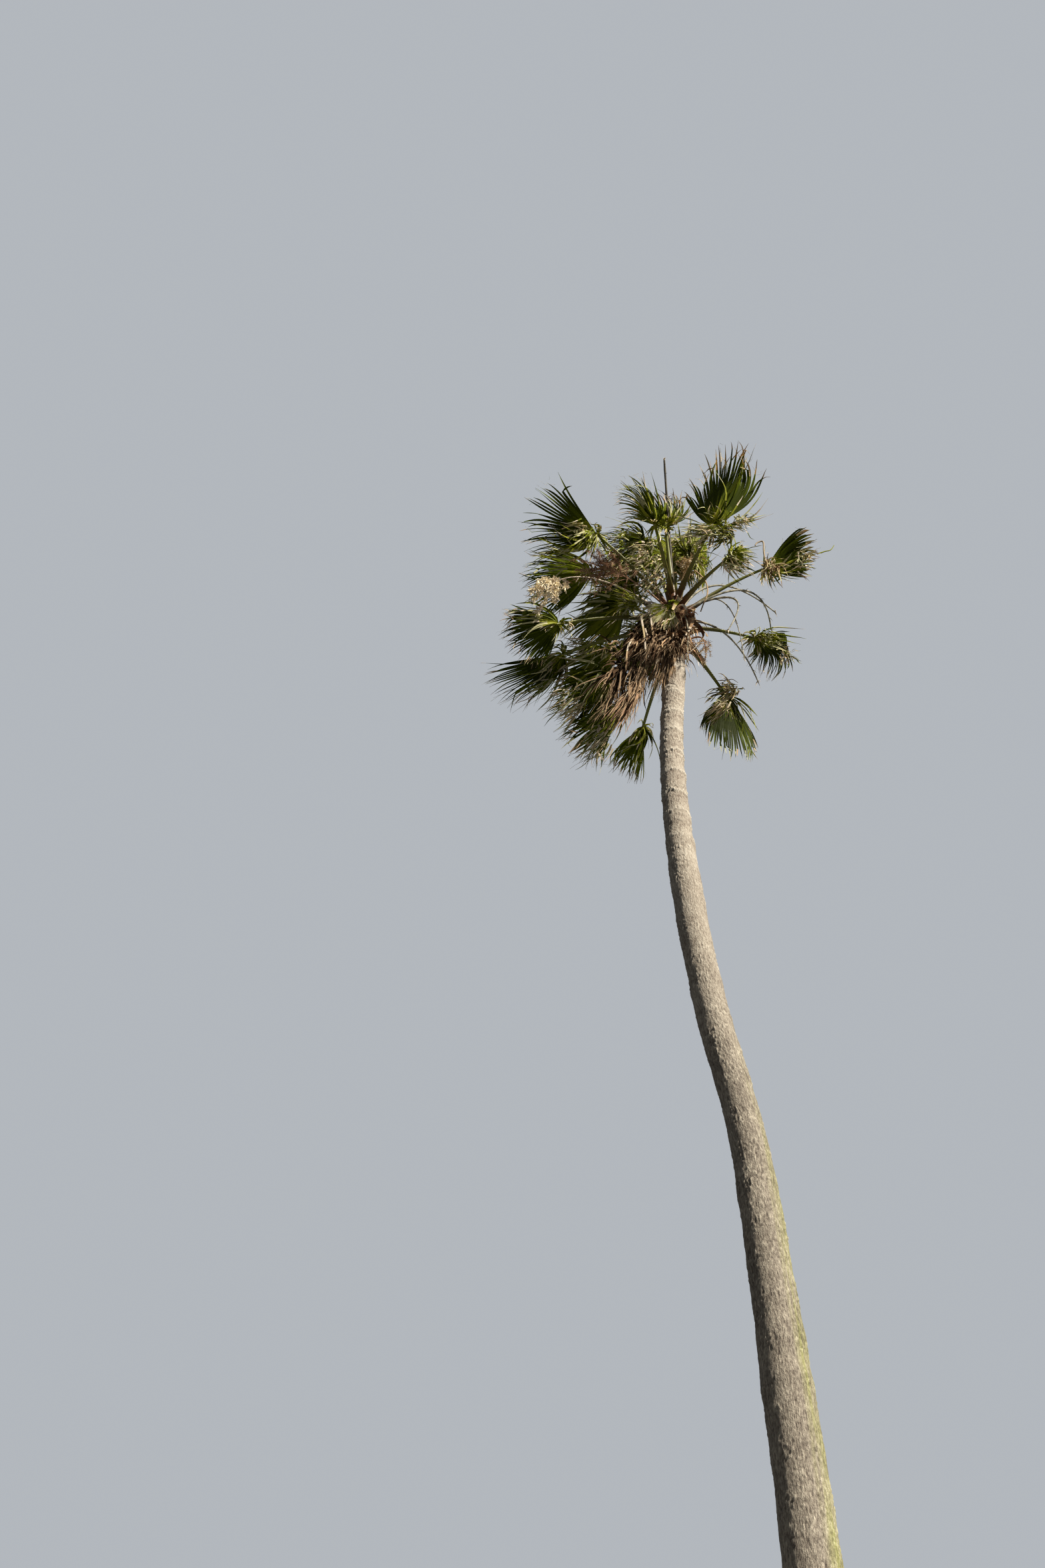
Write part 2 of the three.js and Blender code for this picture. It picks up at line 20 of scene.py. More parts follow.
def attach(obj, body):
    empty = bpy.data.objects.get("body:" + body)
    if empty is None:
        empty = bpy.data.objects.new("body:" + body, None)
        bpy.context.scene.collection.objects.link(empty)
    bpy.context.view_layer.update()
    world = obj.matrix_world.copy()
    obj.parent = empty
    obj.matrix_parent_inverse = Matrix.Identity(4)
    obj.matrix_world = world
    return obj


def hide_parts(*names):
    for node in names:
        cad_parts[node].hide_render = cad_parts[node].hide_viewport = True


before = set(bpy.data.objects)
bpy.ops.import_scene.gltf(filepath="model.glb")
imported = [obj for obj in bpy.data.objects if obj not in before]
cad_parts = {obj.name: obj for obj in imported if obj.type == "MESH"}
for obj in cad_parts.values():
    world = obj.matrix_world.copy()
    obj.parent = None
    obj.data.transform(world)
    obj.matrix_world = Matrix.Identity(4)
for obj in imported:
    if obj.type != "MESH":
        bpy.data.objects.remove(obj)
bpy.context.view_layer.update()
BODY = "root"
LOG = logging.getLogger("palm")

UP = Vector((0, 0, 1))

# From the crown towards the front view's eye
TOWARDS_VIEW = Vector((-0.07, -0.57, -0.82))

# The stem, as its solid has it: the middle line and diameter at even steps up to its top
STEM_HEIGHT = 21.6
STEM_OFFSETS = (0, -0.028, -0.054, -0.078, -0.098, -0.114, -0.136, -0.183, -0.259, -0.484, -0.604,
                -0.625, -0.505)
STEM_DIAMETERS = (0.640, 0.560, 0.525, 0.495, 0.470, 0.448, 0.422, 0.378, 0.326, 0.308, 0.293,
                  0.251, 0.250)
FLARE = 0.2
FLARE_HEIGHT = 0.35
SWELLING = 0.012
SWELLING_PITCH = 1.9

# The head of leaf bases: its radius at these depths below the growing point
HEAD_LENGTH = 1.15
HEAD_DEPTHS = (0, 0.10, 0.25, 0.45, 0.70, 0.95, 1.15)
HEAD_RADII = (0.030, 0.090, 0.135, 0.165, 0.175, 0.150, 0.125)
TIP = Vector((-0.44, 0, STEM_HEIGHT + HEAD_LENGTH))

GOLDEN_ANGLE = 137.5

# The steps of a rib's or ribbon's path, unless it says otherwise
RIB_STEPS = 12

# The seed of the gusts that neighbouring leaflets share
GUST_SEED = 4

# How strongly leaves mirror the light, as the shader counts it
LEAF_GLOSS = 0.05

# Three numbers: a place, a colour or the stretch of a pattern
Triple = tuple[float, float, float]


class Tint(Enum):
    """The plain colours of leaves, dry parts and blossom: linear red, green, blue, then roughness. GLOW
    paints light shining through a leaf, and SHEEN is partly a leaflet's pale back and partly a painted
    highlight.
    """

    DEEP = (0.022, 0.030, 0.001, 0.60)
    OLIVE = (0.046, 0.062, 0.002, 0.58)
    FERN = (0.080, 0.104, 0.004, 0.55)
    MOSS = (0.128, 0.156, 0.007, 0.55)
    LIME = (0.195, 0.218, 0.014, 0.50)
    FRESH = (0.290, 0.300, 0.028, 0.50)
    # Painted light that shines through a leaf
    GLOW = (0.440, 0.430, 0.045, 0.55)
    # Partly a pale leaflet back, partly a painted highlight
    SHEEN = (0.540, 0.520, 0.280, 0.50)
    STRAW = (0.680, 0.530, 0.300, 0.60)
    AMBER = (0.500, 0.300, 0.080, 0.60)
    TAN = (0.460, 0.325, 0.190, 0.75)
    DRY = (0.300, 0.205, 0.125, 0.85)
    ASH = (0.440, 0.355, 0.255, 0.85)
    UMBER = (0.085, 0.050, 0.028, 0.90)
    RUST = (0.170, 0.078, 0.040, 0.80)
    CLAY = (0.640, 0.400, 0.220, 0.75)
    BARE = (0.800, 0.680, 0.520, 0.65)
    CREAM = (0.980, 0.860, 0.620, 0.70)
    MAUVE = (0.430, 0.260, 0.165, 0.85)


# The greens from dark to pale: a leaflet passes from one to another through those between
GREENS = (Tint.DEEP, Tint.OLIVE, Tint.FERN, Tint.MOSS, Tint.LIME, Tint.FRESH, Tint.SHEEN)


class Slot(Enum):
    """The record's material slots."""

    BARK = "bark"
    LEAF_BASE = "leaf_base"
    LEAF_STALK = "leaf_stalk"
    LEAF = "leaf"
    DEAD_LEAF = "dead_leaf"
    FLOWER_STALK = "flower_stalk"
    PANICLE = "panicle"
    DRY_PANICLE = "dry_panicle"


@dataclass(frozen=True)
class Way:
    """A direction in space, in degrees.

    Args:
        heading: the turn from +X towards +Y.
        rise: the angle above level.
    """

    heading: float
    rise: float

    def vector(self) -> Vector:
        """The way as a unit vector."""
        level = math.cos(math.radians(self.rise))
        turn = math.radians(self.heading)
        return Vector((math.cos(turn) * level, math.sin(turn) * level, math.sin(math.radians(self.rise))))


@dataclass(frozen=True)
class Wind(Way):
    """The way that loose leaflets are bent, and how strongly."""

    by: float


@dataclass(frozen=True)
class Lie(Way):
    """How a fan lies: where its middle rib points, and its roll about that rib."""

    roll: float

    def axes(self) -> tuple[Vector, Vector, Vector]:
        """The fan's own axes: along its middle rib, across it, and up from its upper face."""
        along = self.vector()
        level = UP.cross(along).normalized()
        turn = math.radians(self.roll)
        up = along.cross(level) * math.cos(turn) + level * math.sin(turn)
        return along, up.cross(along), up


class Mood(Enum):
    """How a leaf looks: its leaflets where joined and where loose, its middle, which paints light shining
    through near the hub, and its dry tips.
    """

    # DIM and SHADED darken a leaf's greens as painted shade; LIT and PALE lighten them as painted sunlight
    DIM = ((Tint.DEEP, Tint.OLIVE, Tint.DEEP, Tint.DEEP), (Tint.OLIVE, Tint.DEEP, Tint.OLIVE, Tint.MOSS),
           Tint.MOSS, (Tint.STRAW, Tint.TAN, Tint.SHEEN))
    SHADED = ((Tint.OLIVE, Tint.FERN, Tint.OLIVE, Tint.DEEP), (Tint.OLIVE, Tint.MOSS, Tint.OLIVE, Tint.FERN),
              Tint.LIME, (Tint.TAN, Tint.STRAW, Tint.SHEEN))
    GREEN = ((Tint.FERN, Tint.MOSS, Tint.FERN, Tint.OLIVE), (Tint.MOSS, Tint.FRESH, Tint.FERN, Tint.LIME),
             Tint.FRESH, (Tint.STRAW, Tint.TAN, Tint.SHEEN))
    LIT = ((Tint.MOSS, Tint.LIME, Tint.FERN, Tint.LIME), (Tint.FRESH, Tint.LIME, Tint.SHEEN, Tint.FRESH),
           Tint.GLOW, (Tint.STRAW, Tint.SHEEN, Tint.BARE))
    TIPPED = ((Tint.OLIVE, Tint.FERN, Tint.OLIVE), (Tint.FERN, Tint.MOSS, Tint.LIME, Tint.FERN),
              Tint.FRESH, (Tint.AMBER, Tint.STRAW, Tint.AMBER))
    PALE = ((Tint.SHEEN, Tint.FRESH, Tint.SHEEN), (Tint.SHEEN, Tint.STRAW, Tint.SHEEN),
            Tint.GLOW, (Tint.STRAW, Tint.BARE))
    DEAD = ((Tint.UMBER, Tint.DRY, Tint.DRY, Tint.UMBER), (Tint.DRY, Tint.DRY, Tint.UMBER, Tint.TAN),
            Tint.UMBER, (Tint.DRY, Tint.TAN))

    def __init__(self, joined: tuple[Tint, ...], loose: tuple[Tint, ...], middle: Tint,
                 tips: tuple[Tint, ...]) -> None:
        """Keep the mood's tints by name."""
        self.joined = joined
        self.loose = loose
        self.middle = middle
        self.tips = tips


def toned(now: Tint, aim: Tint) -> Tint:
    """One step from a green towards another, or straight to a tint that isn't green.

    Args:
        now: the tint so far.
        aim: the tint wanted.

    Returns:
        The next tint.
    """
    if now not in GREENS or aim not in GREENS or now is aim:
        return aim
    place = GREENS.index(now)
    return GREENS[place + (1 if GREENS.index(aim) > place else -1)]


@dataclass(frozen=True)
class LeafPlan:
    """The named sizes of one leaf, in metres and degrees.

    Args:
        drop: how far below the growing point its stalk starts.
        way: from the stalk's start to the fan's hub.
        stalk: the stalk's length.
        length: the middle rib's length.
        spread: how far the fan opens clockwise and counterclockwise.
        fold: how far its sides are lifted.
        lie: how the fan lies.
        wind: the way that its loose leaflets are bent.
        mood: its tints.
        folded: how many leaflets are blown back over the fan.
        hanging: how many leaflets hang from the hub.
        ruffle: how untidy its leaflets are, from 0 to 1.
        layers: how many fans lie on one another.
        joined: how far out its leaflets are joined at least and at most.
        dry: how far out its dry tips start.
        pitch: degrees from one leaflet to the next.
    """

    drop: float
    way: Way
    stalk: float
    length: float
    spread: tuple[float, float]
    fold: float
    lie: Lie
    wind: Wind
    mood: Mood = Mood.GREEN
    folded: int = 7
    hanging: int = 12
    ruffle: float = 0.25
    layers: int = 1
    joined: tuple[float, float] = (0.44, 0.64)
    dry: float = 0.92
    pitch: float = 3.4


# The moods DIM and SHADED paint shade into a leaf's greens, and LIT paints sunlight onto them
LEAVES = (
    LeafPlan(0.15, Way(-147, 37), 1.18, 0.97, (44, 58), 20, Lie(-169, 4, -7), Wind(-130, -9, 0.39),
             Mood.SHADED, 22, 30, 0.35, 1, (0.42, 0.62), 0.9),
    LeafPlan(0.3, Way(-175, 45), 1.12, 0.92, (45, 60), 15, Lie(176, 9, -54), Wind(172, -15, 0.8),
             Mood.GREEN, 16, 18, 0.45, 2, (0.36, 0.58), 0.9),
    LeafPlan(0.45, Way(150, 19), 1.36, 1.06, (28, 44), 15, Lie(145, -10, -2), Wind(154, 24, 1.92),
             Mood.DIM, 26, 34, 0.3, 1, (0.44, 0.64), 0.88, 2.4),
    LeafPlan(0.05, Way(-70, 1), 1.05, 1.18, (38, 62), 40, Lie(-57, 52, 46), Wind(-133, 40, 0.82),
             Mood.TIPPED, 10, 60, 0.45, 1, (0.48, 0.72), 0.78, 2.6),
    LeafPlan(0.25, Way(-10, 35), 1.2, 0.78, (36, 36), 15, Lie(0, 33, 11), Wind(-8, 9, 0.65),
             Mood.SHADED, 16, 30, 0.4, 1, (0.66, 0.86), 0.84, 2.6),
    LeafPlan(0.52, Way(58, 8), 1.1, 0.93, (66, 60), 20, Lie(59, -59, 63), Wind(96, -88, 1.8),
             Mood.DIM, 8, 60, 0.25, 1, (0.5, 0.76), 0.86, 3.0),
    LeafPlan(0.42, Way(27, 24), 1.05, 0.7, (65, 45), 33, Lie(28, -13, -6), Wind(140, -4, 1.7),
             Mood.DIM, 6, 60, 0.5, 1, (0.44, 0.66), 0.8, 3.0),
    LeafPlan(0.4, Way(-165, -25), 1.35, 0.71, (40, 75), 20, Lie(-177, -10, -54), Wind(175, -30, 0.8),
             Mood.SHADED, 26, 34, 0.45, 2, (0.4, 0.6), 0.84),
    LeafPlan(0.5, Way(127, 17), 1.0, 0.86, (50, 60), 20, Lie(158, -26, -31), Wind(139, -30, 1.0),
             Mood.GREEN, 26, 34, 0.55, 2, (0.4, 0.6), 0.78),
    LeafPlan(0.6, Way(118, 5), 1.1, 0.88, (30, 40), 25, Lie(151, -35, -20), Wind(150, -23, 0.7),
             Mood.SHADED, 20, 24, 0.5, 2, (0.4, 0.6), 0.78),
    LeafPlan(0.68, Way(103, 2), 1.18, 0.72, (35, 30), 25, Lie(125, -57, -5), Wind(134, -31, 0.7),
             Mood.GREEN, 24, 30, 0.4, 2, (0.4, 0.6), 0.84),
    LeafPlan(0.0, Way(-104, 0), 1.05, 0.7, (34, 60), 20, Lie(-128, 40, 33), Wind(181, -43, 0.78),
             Mood.GREEN, 14, 20, 0.4, 1, (0.4, 0.6), 0.86, 2.8),
    LeafPlan(0.1, Way(-98, 66), 1.05, 0.66, (50, 90), 10, Lie(-44, 78, 38), Wind(-124, 40, 1.4),
             Mood.TIPPED, 20, 36, 0.5, 1, (0.4, 0.6), 0.7),
    LeafPlan(0.2, Way(-58, -15), 0.98, 0.47, (70, 60), 30, Lie(35, 26, 8), Wind(73, 44, 2.5),
             Mood.LIT, 30, 30, 0.45, 2, (0.3, 0.5), 0.82),
    LeafPlan(0.42, Way(132, 28), 0.8, 0.85, (30, 55), 20, Lie(163, 7, -63), Wind(159, -13, 0.6),
             Mood.LIT, 18, 22, 0.45, 2, (0.4, 0.6), 0.86),
    LeafPlan(0.35, Way(155, 56), 0.8, 0.88, (40, 70), 20, Lie(158, -2, -81), Wind(150, -18, 0.8),
             Mood.LIT, 22, 26, 0.5, 2, (0.4, 0.6), 0.84),
    LeafPlan(0.05, Way(-140, 69), 1.0, 0.75, (50, 70), 20, Lie(170, 37, -71), Wind(173, -35, 1.3),
             Mood.SHADED, 12, 14, 0.3, 1, (0.25, 0.4), 0.9),
    LeafPlan(0.02, Way(60, 84), 1.05, 0.75, (110, 110), 20, Lie(-90, 73, -20), Wind(130, -33, 1.0),
             Mood.LIT, 40, 60, 0.85, 2, (0.36, 0.56), 0.84),
    LeafPlan(0.1, Way(-178, 71), 0.95, 0.7, (100, 100), 20, Lie(171, 60, -88), Wind(155, -35, 1.1),
             Mood.LIT, 40, 60, 0.85, 2, (0.36, 0.56), 0.84),
    LeafPlan(0.06, Way(-8, 74), 0.95, 0.72, (110, 110), 20, Lie(-8, 71, 28), Wind(138, -33, 1.2),
             Mood.LIT, 40, 60, 0.85, 2, (0.36, 0.56), 0.84),
    LeafPlan(0.35, Way(100, 49), 1.05, 0.85, (80, 80), 20, Lie(142, 23, -54), Wind(140, -23, 0.9),
             Mood.GREEN, 24, 36, 0.65, 2, (0.38, 0.58), 0.84),
    LeafPlan(0.2, Way(140, 62), 1.0, 0.85, (80, 80), 20, Lie(162, 38, -63), Wind(150, -33, 0.9),
             Mood.GREEN, 24, 36, 0.65, 2, (0.38, 0.58), 0.84),
)

# Its PALE mood paints sunlight onto the small leaf's face
SMALL_LEAF = LeafPlan(0.12, Way(-104, -60), 0.7, 0.35, (78, 72), 10, Lie(147, -62, -32),
                      Wind(150, -60, 0.3), Mood.PALE, 2, 14, 0.25, 1, (0.6, 0.8), 0.9, 4.5)

DEAD_LEAVES = (
    LeafPlan(0.65, Way(-160, -56), 0.5, 0.62, (25, 25), 30, Lie(180, -75, 0), Wind(180, -60, 0.6),
             Mood.DEAD, 20, 44, 0.8, 2, (0.12, 0.3)),
    LeafPlan(0.76, Way(-176, -55), 0.75, 1.1, (30, 30), 30, Lie(175, -78, 0), Wind(175, -60, 0.6),
             Mood.DEAD, 20, 44, 0.8, 2, (0.12, 0.3)),
    LeafPlan(0.72, Way(-135, -60), 0.45, 0.62, (25, 25), 30, Lie(-140, -80, 0), Wind(180, -70, 0.6),
             Mood.DEAD, 20, 44, 0.8, 2, (0.12, 0.3)),
    LeafPlan(0.8, Way(150, -45), 0.45, 0.6, (25, 25), 30, Lie(150, -75, 0), Wind(170, -70, 0.6),
             Mood.DEAD, 20, 44, 0.8, 2, (0.12, 0.3)),
    LeafPlan(0.85, Way(-95, -65), 0.3, 0.5, (25, 25), 30, Lie(-100, -84, 0), Wind(180, -70, 0.5),
             Mood.DEAD, 20, 40, 0.8, 2, (0.12, 0.3)),
)


@dataclass(frozen=True)
class StalkPlan:
    """A flower stalk that leaves the head one way and ends another.

    Args:
        drop: how far below the growing point it starts.
        way: the way that it leaves the head.
        reach: how far it gets.
        end: the way from its start to its end.
        bow: how far it keeps to its first way, as a share of its reach.
    """

    drop: float
    way: Way
    reach: float
    end: Way
    bow: float = 0.55


FLOWER_STALKS = (
    StalkPlan(0.15, Way(-18, 62), 1.3, Way(19, 22), 0.69),
    StalkPlan(0.23, Way(-15, 34), 1.25, Way(26, 19), 0.95),
    StalkPlan(0.3, Way(20, 30), 1.45, Way(49, 12), 0.48),
    StalkPlan(0.16, Way(-12, 20), 0.75, Way(-12, -50), 1.33),
    StalkPlan(0.02, Way(-94, 70), 1.9, Way(-94, 62)),
)

# Thin stalks that the solids leave out
THIN_STALKS = (
    StalkPlan(0.2, Way(8, 58), 0.96, Way(14, -46), 1.3),
    StalkPlan(0.55, Way(-75, -40), 1.1, Way(-80, -84), 0.5),
)

CREAM_PANICLE_STALK = StalkPlan(0.25, Way(-165, 40), 1.66, Way(-153, -21), 0.75)
DRY_PANICLE_STALK = StalkPlan(0.2, Way(-142, 20), 1.05, Way(-140, -10))
LOW_PANICLE_STALK = StalkPlan(0.9, Way(-30, 10), 0.5, Way(-40, -62))
MIDDLE_PANICLE_STALK = StalkPlan(0.05, Way(-64, 60), 0.5, Way(-64, 51))


def head_axis(drop: float) -> Vector:
    """Where the head's axis lies at a depth below the growing point.

    Args:
        drop: the depth.

    Returns:
        The point.
    """
    lean = (STEM_OFFSETS[-1] - TIP.x) / HEAD_LENGTH
    return TIP + Vector((lean * drop, 0, -drop))


def between(places: Sequence[float], values: Sequence[float], place: float) -> float:
    """Interpolate values that are given at rising places.

    Args:
        places: where the values are given.
        values: the values.
        place: where to read them.

    Returns:
        The value there.
    """
    for low, high, start, end in zip(places, places[1:], values, values[1:]):
        if place <= high:
            return start + (end - start) * max(0.0, (place - low) / (high - low))
    return values[-1]


def smoothed(values: Sequence[float], share: float) -> float:
    """A smooth curve through evenly spaced values.

    Args:
        values: the values.
        share: how far along them, from 0 to 1.

    Returns:
        The value there.
    """
    last = len(values) - 1
    index = min(max(int(share * last), 0), last - 1)
    t = share * last - index
    start, end = values[index], values[index + 1]
    leaving = (end - values[max(index - 1, 0)]) / 2
    arriving = (values[min(index + 2, last)] - start) / 2
    return start + t * (leaving + t * (3 * (end - start) - 2 * leaving - arriving
                                       + t * (2 * (start - end) + leaving + arriving)))


def compass(sides: int) -> list[Vector]:
    """Level unit vectors, evenly round from +X."""
    turns = (corner * math.tau / sides for corner in range(sides))
    return [Vector((math.cos(turn), math.sin(turn), 0)) for turn in turns]


def shaken(rng: random.Random, size: float) -> Vector:
    """A random vector."""
    return Vector([rng.gauss(0, size) for _ in range(3)])


def smooth_step(low: float, high: float, value: float) -> float:
    """Rise smoothly from 0 at low to 1 at high."""
    t = min(max((value - low) / (high - low), 0.0), 1.0)
    return t * t * (3 - 2 * t)


@dataclass(frozen=True)
class Bow:
    """A quadratic curve through space, from start to finish."""

    start: Vector
    middle: Vector
    finish: Vector

    def point(self, t: float) -> Vector:
        """The point at a share of the way.

        Args:
            t: the share, which may run past 0 or 1 along the end's own direction.

        Returns:
            The point.
        """
        if t < 0:
            return self.start + self.tangent(0) * t * self.length
        if t > 1:
            return self.finish + self.tangent(1) * (t - 1) * self.length
        return (1 - t) ** 2 * self.start + 2 * t * (1 - t) * self.middle + t * t * self.finish

    def tangent(self, t: float) -> Vector:
        """The way along the curve at a share of the way."""
        t = min(max(t, 0.0), 1.0)
        return ((self.middle - self.start) * (1 - t) + (self.finish - self.middle) * t).normalized()

    @cached_property
    def length(self) -> float:
        """About how long the curve is."""
        chord = (self.finish - self.start).length
        return (chord + (self.middle - self.start).length + (self.finish - self.middle).length) / 2


def stalk_start(drop: float, heading: float) -> Vector:
    """Where a stalk leaves the head's surface.

    Args:
        drop: the depth below the growing point.
        heading: the side that it leaves on, in degrees.

    Returns:
        The point.
    """
    return head_axis(drop) + Way(heading, 0).vector() * between(HEAD_DEPTHS, HEAD_RADII, drop)


def leaf_stalk_curve(plan: LeafPlan) -> Bow:
    """The middle line of a leaf's stalk, which bows upwards a little.

    Args:
        plan: the leaf.

    Returns:
        The curve, from the head's surface to the fan's hub.
    """
    start = stalk_start(plan.drop, plan.way.heading)
    bow = Way(plan.way.heading, min(85, plan.way.rise + 12)).vector()
    return Bow(start, start + bow * plan.stalk / 2, start + plan.way.vector() * plan.stalk)


def flower_stalk_curve(plan: StalkPlan) -> Bow:
    """The middle line of a flower stalk.

    Args:
        plan: the stalk.

    Returns:
        The curve, from the head's surface to the stalk's end.
    """
    start = stalk_start(plan.drop, plan.way.heading)
    return Bow(start, start + plan.way.vector() * plan.reach * plan.bow,
               start + plan.end.vector() * plan.reach)


def blown_path(start: Vector, outward: Vector, wind: Vector, length: float, stiff: float, by: float,
               sway: Vector = Vector(), steps: int = RIB_STEPS) -> list[Vector]:
    """A rib or ribbon that leaves along one way and is bent towards the wind.

    Args:
        start: where it starts.
        outward: the way that it leaves.
        wind: the way that it is bent towards.
        length: its length.
        stiff: the share of its length that the wind hardly bends.
        by: how strongly it is bent.
        sway: the way that it swings to and fro, and how strongly.
        steps: the number of steps along it.

    Returns:
        The points, steps + 1 of them.
    """
    points = [start.copy()]
    for step in range(steps):
        share = (step + 0.5) / steps
        loose = max(0.0, (share - stiff) / (1 - stiff))
        heading = outward + wind * by * (0.15 * share + loose ** 1.2) + sway * math.sin(share * 9) * loose
        points.append(points[-1] + heading.normalized() * length / steps)
    return points


def along_path(points: Sequence[Vector], share: float) -> Vector:
    """The point at a share of the way along a path of even steps.

    Args:
        points: the path.
        share: the share, which is held between 0 and 1.

    Returns:
        The point.
    """
    place = min(max(share, 0.0), 1.0) * (len(points) - 1)
    index = min(int(place), len(points) - 2)
    return points[index].lerp(points[index + 1], place - index)


def carried(points: Sequence[Vector], across: Vector, twist: float = 0) -> list[tuple[Vector, Vector]]:
    """Carry a side along a path without spinning it.

    Args:
        points: the path.
        across: the side that it starts with.
        twist: how far it is turned about the path by the end, in degrees.

    Returns:
        The side and the upper side at each point.
    """
    last = len(points) - 1
    ways = []
    side = across
    for index in range(last + 1):
        forward = (points[min(index + 1, last)] - points[max(index - 1, 0)]).normalized()
        side = side - forward * side.dot(forward)
        side = side.normalized() if side.length > 1e-4 else forward.orthogonal().normalized()
        turned = Matrix.Rotation(math.radians(twist * index / last), 3, forward) @ side
        ways.append((turned, forward.cross(turned)))
    return ways


@dataclass
class Loft:
    """A closed skin through a stack of rings.

    Args:
        rings: the rings of points from one end to the other, each with as many corners.
        tints: the tint of each band between two rings.
    """

    rings: list[list[Vector]]
    tints: list[Tint]


def tube(points: Sequence[Vector], radius: Callable[[float], float], tint: Tint, sides: int = 6) -> Loft:
    """A round tube along a path.

    Args:
        points: the path.
        radius: its radius at a share of its length.
        tint: its tint.
        sides: its corners.

    Returns:
        The loft.
    """
    rings = []
    for index, (side, up) in enumerate(carried(points, (points[1] - points[0]).orthogonal())):
        out = radius(index / (len(points) - 1))
        turns = (corner * math.tau / sides for corner in range(sides))
        rings.append([points[index] + (side * math.cos(t) + up * math.sin(t)) * out for t in turns])
    return Loft(rings, [tint] * (len(points) - 1))


def blade(points: Sequence[Vector], across: Vector, width: Callable[[float], float],
          tints: Sequence[Tint], crease: float = 0.3, twist: float = 0, thickness: float = 0.0022,
          corners: int = 4) -> Loft:
    """A thin creased or curved blade along a path.

    Args:
        points: the path.
        across: the way across it at its start.
        width: its width at a share of its length.
        tints: its tint, or the tints of its bands.
        crease: how far its middle stands out, as a share of its width.
        twist: how far it is turned about its path by its end, in degrees.
        thickness: its thickness along its middle.
        corners: the corners of a section: 4 for a crease, 8 for a curve.

    Returns:
        The loft.
    """
    rings = []
    for index, (side, up) in enumerate(carried(points, across, twist)):
        wide = width(index / (len(points) - 1))
        ring = []
        for corner in range(corners):
            turn = 4 * corner / corners
            place = turn - 1 if turn <= 2 else 3 - turn
            rise = wide * crease * (1 - place * place)
            if turn > 2:
                rise -= thickness * (1 - place * place)
            ring.append(points[index] + side * place * wide / 2 + up * rise)
        rings.append(ring)
    bands = len(points) - 1
    return Loft(rings, [tints[min(len(tints) * band // bands, len(tints) - 1)] for band in range(bands)])


class Piece:
    """One finished piece: lofts laid in one mesh, with a tint for each band."""

    def __init__(self, name: str, slot: Slot, *nodes: str) -> None:
        """Start an empty piece.

        Args:
            name: the piece's name.
            slot: the record's material slot; it is not used.
            nodes: the nodes that it stands for.
        """
        self.name = name
        self.slot = slot
        self.nodes = nodes
        self.bm = bmesh.new()
        self.tints: list[Tint] = []

    def index_of(self, tint: Tint) -> int:
        """The material index of a tint, new or used before."""
        if tint not in self.tints:
            self.tints.append(tint)
        return self.tints.index(tint)

    def add(self, lofts: Sequence[Loft]) -> None:
        """Lay lofts of the same number of rings and corners, all from one grid.

        The grid has a line of vertices for each ring. The faces between one loft and the next are
        taken out, and its last column is welded to its first.

        Args:
            lofts: the lofts.
        """
        rows, corners = len(lofts[0].rings), len(lofts[0].rings[0])
        lines = len(lofts) * rows
        laid = bmesh.ops.create_grid(self.bm, x_segments=corners, y_segments=lines - 1, size=0.5)["verts"]
        gaps = []
        for face in dict.fromkeys(face for vert in laid for face in vert.link_faces):
            line = int((face.calc_center_median().y + 0.5) * (lines - 1))
            if line % rows == rows - 1:
                gaps.append(face)
            else:
                face.material_index = self.index_of(lofts[line // rows].tints[line % rows])
        columns = {}
        for vert in laid:
            line, column = round((vert.co.y + 0.5) * (lines - 1)), round((vert.co.x + 0.5) * corners)
            columns[line, column] = vert
        for (line, column), vert in columns.items():
            vert.co = lofts[line // rows].rings[line % rows][column % corners]
        bmesh.ops.weld_verts(self.bm, targetmap={columns[line, corners]: columns[line, 0]
                                                 for line in range(lines)})
        bmesh.ops.delete(self.bm, geom=gaps, context="FACES")

    def finish(self, skins: dict[Tint, bpy.types.Material] | None = None,
               smooth: bool = False) -> bpy.types.Object:
        """Close the ends, make the object and hang it on the palm's body.

        Args:
            skins: the materials that stand in for some of its tints.
            smooth: whether its faces are shaded smoothly.

        Returns:
            The finished object.
        """
        ends = [edge for edge in self.bm.edges if edge.is_boundary]
        for edge in ends:
            edge.smooth = False
        bmesh.ops.holes_fill(self.bm, edges=ends, sides=0)
        bmesh.ops.recalc_face_normals(self.bm, faces=self.bm.faces[:])
        for face in self.bm.faces:
            face.smooth = smooth
        mesh = bpy.data.meshes.new(self.name)
        self.bm.to_mesh(mesh)
        self.bm.free()
        for tint in self.tints:
            mesh.materials.append((skins or {}).get(tint) or plain(tint))
        made = bpy.data.objects.new(self.name, mesh)
        bpy.context.scene.collection.objects.link(made)
        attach(made, BODY)
        if self.nodes:
            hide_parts(*self.nodes)
        triangles = sum(len(p.vertices) - 2 for p in mesh.polygons)
        LOG.info("%s: %d triangles, for %s", self.name, triangles, ", ".join(self.nodes) or "no node")
        return made


def new_material(name: str) -> tuple[bpy.types.Material, bpy.types.ShaderNodeTree, bpy.types.Node]:
    """Start a material.

    Args:
        name: its name.

    Returns:
        The material, its node tree and its shader.
    """
    material = bpy.data.materials.new(name)
    material.use_nodes = True
    tree = material.node_tree
    return material, tree, tree.nodes["Principled BSDF"]


def plain(tint: Tint) -> bpy.types.Material:
    """The material of a plain tint, made once.

    Args:
        tint: the tint.

    Returns:
        The material.
    """
    name = f"{tint.name.lower()}_leaf"
    if name in bpy.data.materials:
        return bpy.data.materials[name]
    material, _, shader = new_material(name)
    red, green, blue, roughness = tint.value
    shader.inputs["Base Color"].default_value = (red, green, blue, 1)
    shader.inputs["Roughness"].default_value = roughness
    shader.inputs["Specular IOR Level"].default_value = LEAF_GLOSS
    return material


